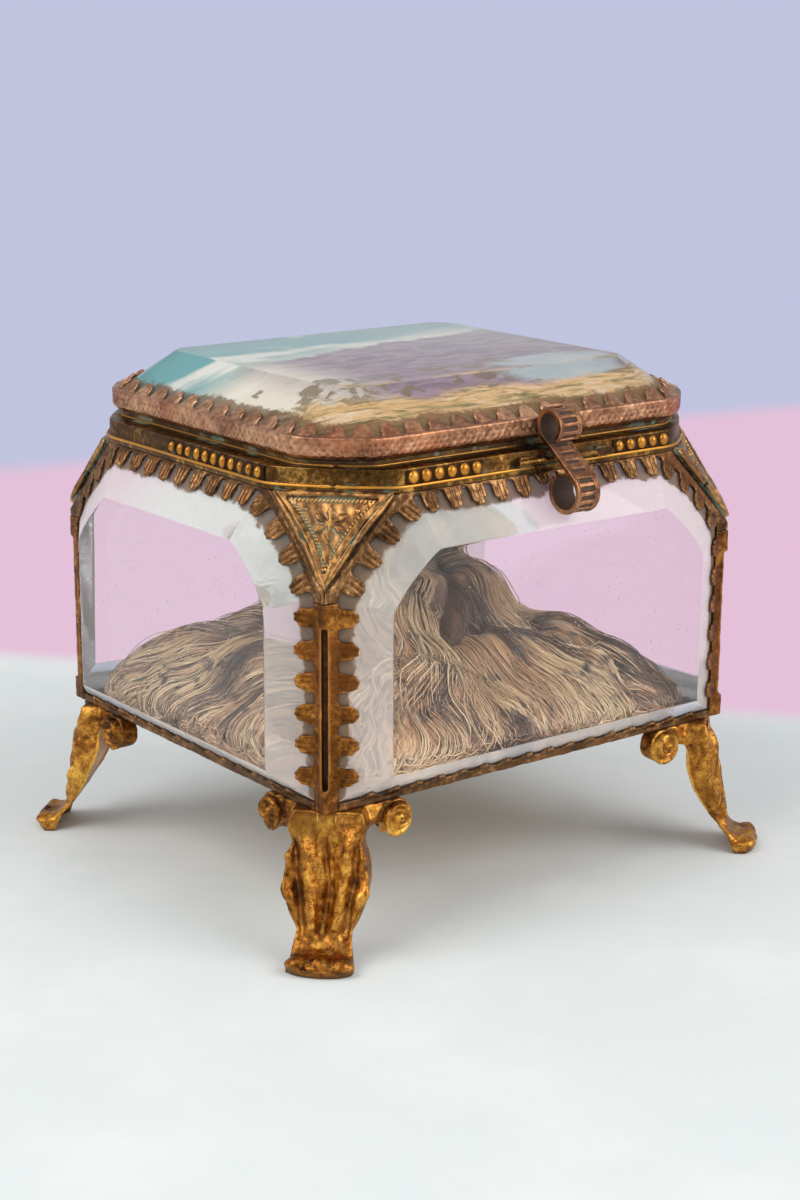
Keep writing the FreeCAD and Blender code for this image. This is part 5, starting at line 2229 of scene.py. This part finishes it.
RAIL_BRASS = BrassFinish(
    "rail_gilt", tone(206, 156, 104), tone(112, 78, 48), tone(54, 36, 24), tone(128, 84, 50),
    brown=0.55, green=0.1, pits=0.7)
POST_BRASS = BrassFinish(
    "post_gilt", tone(236, 160, 76), tone(126, 76, 32), tone(46, 28, 13), tone(130, 76, 36),
    brown=0.56, green=0.08, pits=1.0, grain=0.8)
BAND_BRASS = BrassFinish(
    "band_gilt", tone(230, 176, 90), tone(108, 74, 36), tone(46, 32, 18), tone(84, 58, 32),
    brown=0.55, green=0.45, pits=0.4, wear=0.85)
FOOT_BRASS = BrassFinish(
    "foot_gilt", tone(255, 196, 88), tone(180, 116, 48), tone(62, 37, 18), tone(128, 76, 32),
    brown=0.5, green=0.12, rough=0.32, pits=1.0, grain=0.6, spread=0.13)
SPANDREL_BRASS = BrassFinish(
    "spandrel_gilt", tone(238, 180, 108), tone(146, 104, 62), tone(62, 46, 30), tone(134, 90, 56),
    brown=0.5, green=0.8, pits=0.3, wear=0.9)
BEAD_BRASS = BrassFinish(
    "bead_gilt", tone(230, 164, 72), tone(184, 122, 48), tone(110, 70, 30), tone(160, 102, 44),
    brown=0.3, green=0.05, rough=0.3, pits=0.3, wear=0.9)
BED_BRASS = BrassFinish(
    "bead_bed", tone(120, 84, 44), tone(72, 50, 28), tone(40, 28, 16), tone(66, 46, 26),
    brown=0.6, green=0.4, rough=0.45, wear=0.0)
LID_BRASS = BrassFinish(
    "lid_patina", tone(244, 192, 148), tone(172, 122, 92), tone(76, 50, 38), tone(168, 94, 62),
    brown=0.42, green=0.06, rough=0.32, pits=0.5)
CLASP_BRASS = BrassFinish(
    "clasp_copper", tone(214, 158, 112), tone(146, 100, 72), tone(84, 56, 42), tone(140, 90, 62),
    brown=0.42, green=0.05, rough=0.3, pits=0.4, soot=tone(44, 32, 26))
BASE_BRASS = BrassFinish(
    "base_sheet_brass", tone(206, 166, 102), tone(150, 112, 62), tone(92, 66, 36), tone(140, 100, 56),
    brown=0.4, green=0.1, rough=0.42)
PANE_FLAT = GlassFinish("pane_flat", dust=0.5, index=1.34)
# Bevels: a pale film of painted reflection toned by facet, with grime under the prongs.
PANE_BEVEL = GlassFinish(
    "pane_bevel", dust=0.4, painted_reflection=0.58, grime_from=0.71, grime_share=0.85,
    facet_reflections=(
        (0.0, tone(248, 248, 250)), (0.45, tone(246, 234, 230)),
        (0.62, tone(244, 244, 232)), (1.0, tone(252, 250, 242))))
# Arrises: a near-white film, a painted highlight along the edges of the panes.
PANE_ARRIS = GlassFinish("pane_arris", dust=0.2, painted_reflection=0.5, painted_reflection_tone=tone(244, 244, 240))
PANE_BACK = GlassFinish("pane_inside", dust=0.2, index=1.34)
LID_CLEAR = GlassFinish("lid_clear", dust=0.35, grime_from=0.66, grime_share=0.8)
PICTURE = PictureFinish("lid_landscape")
PAPER = PaperFinish("lid_backing")
LINING = PaperFinish("floor_lining", tone(176, 138, 122), tone(120, 90, 82), tone(196, 160, 140))
SILK = SilkFinish("cushion_silk", tone(255, 222, 176), tone(226, 176, 130), tone(114, 78, 60))


def main() -> None:
    """Builds the casket and its studio."""
    logging.basicConfig(level=logging.INFO, format="%(name)s %(message)s")
    band = BAND_BRASS.material()
    lid = LID_BRASS.material()
    panes = PaneSkin(
        PANE_FLAT.material(), PANE_BEVEL.material(), PANE_ARRIS.material(), PANE_BACK.material())
    Gallery().build(RAIL_BRASS.material(), POST_BRASS.material())
    Panes().build(panes)
    Spandrels().build(SPANDREL_BRASS.material())
    Band().build(BandSkin(
        band, BEAD_BRASS.material(), BED_BRASS.material(), BASE_BRASS.material(), LINING.material()))
    Feet().build(FOOT_BRASS.material())
    Lid().build(lid, LID_CLEAR.material(), PICTURE.material(), PAPER.material())
    Fittings().build(lid, band, CLASP_BRASS.material())
    Cushion().build(SILK.material())
    Studio().build()


if __name__ == "__main__":
    main()
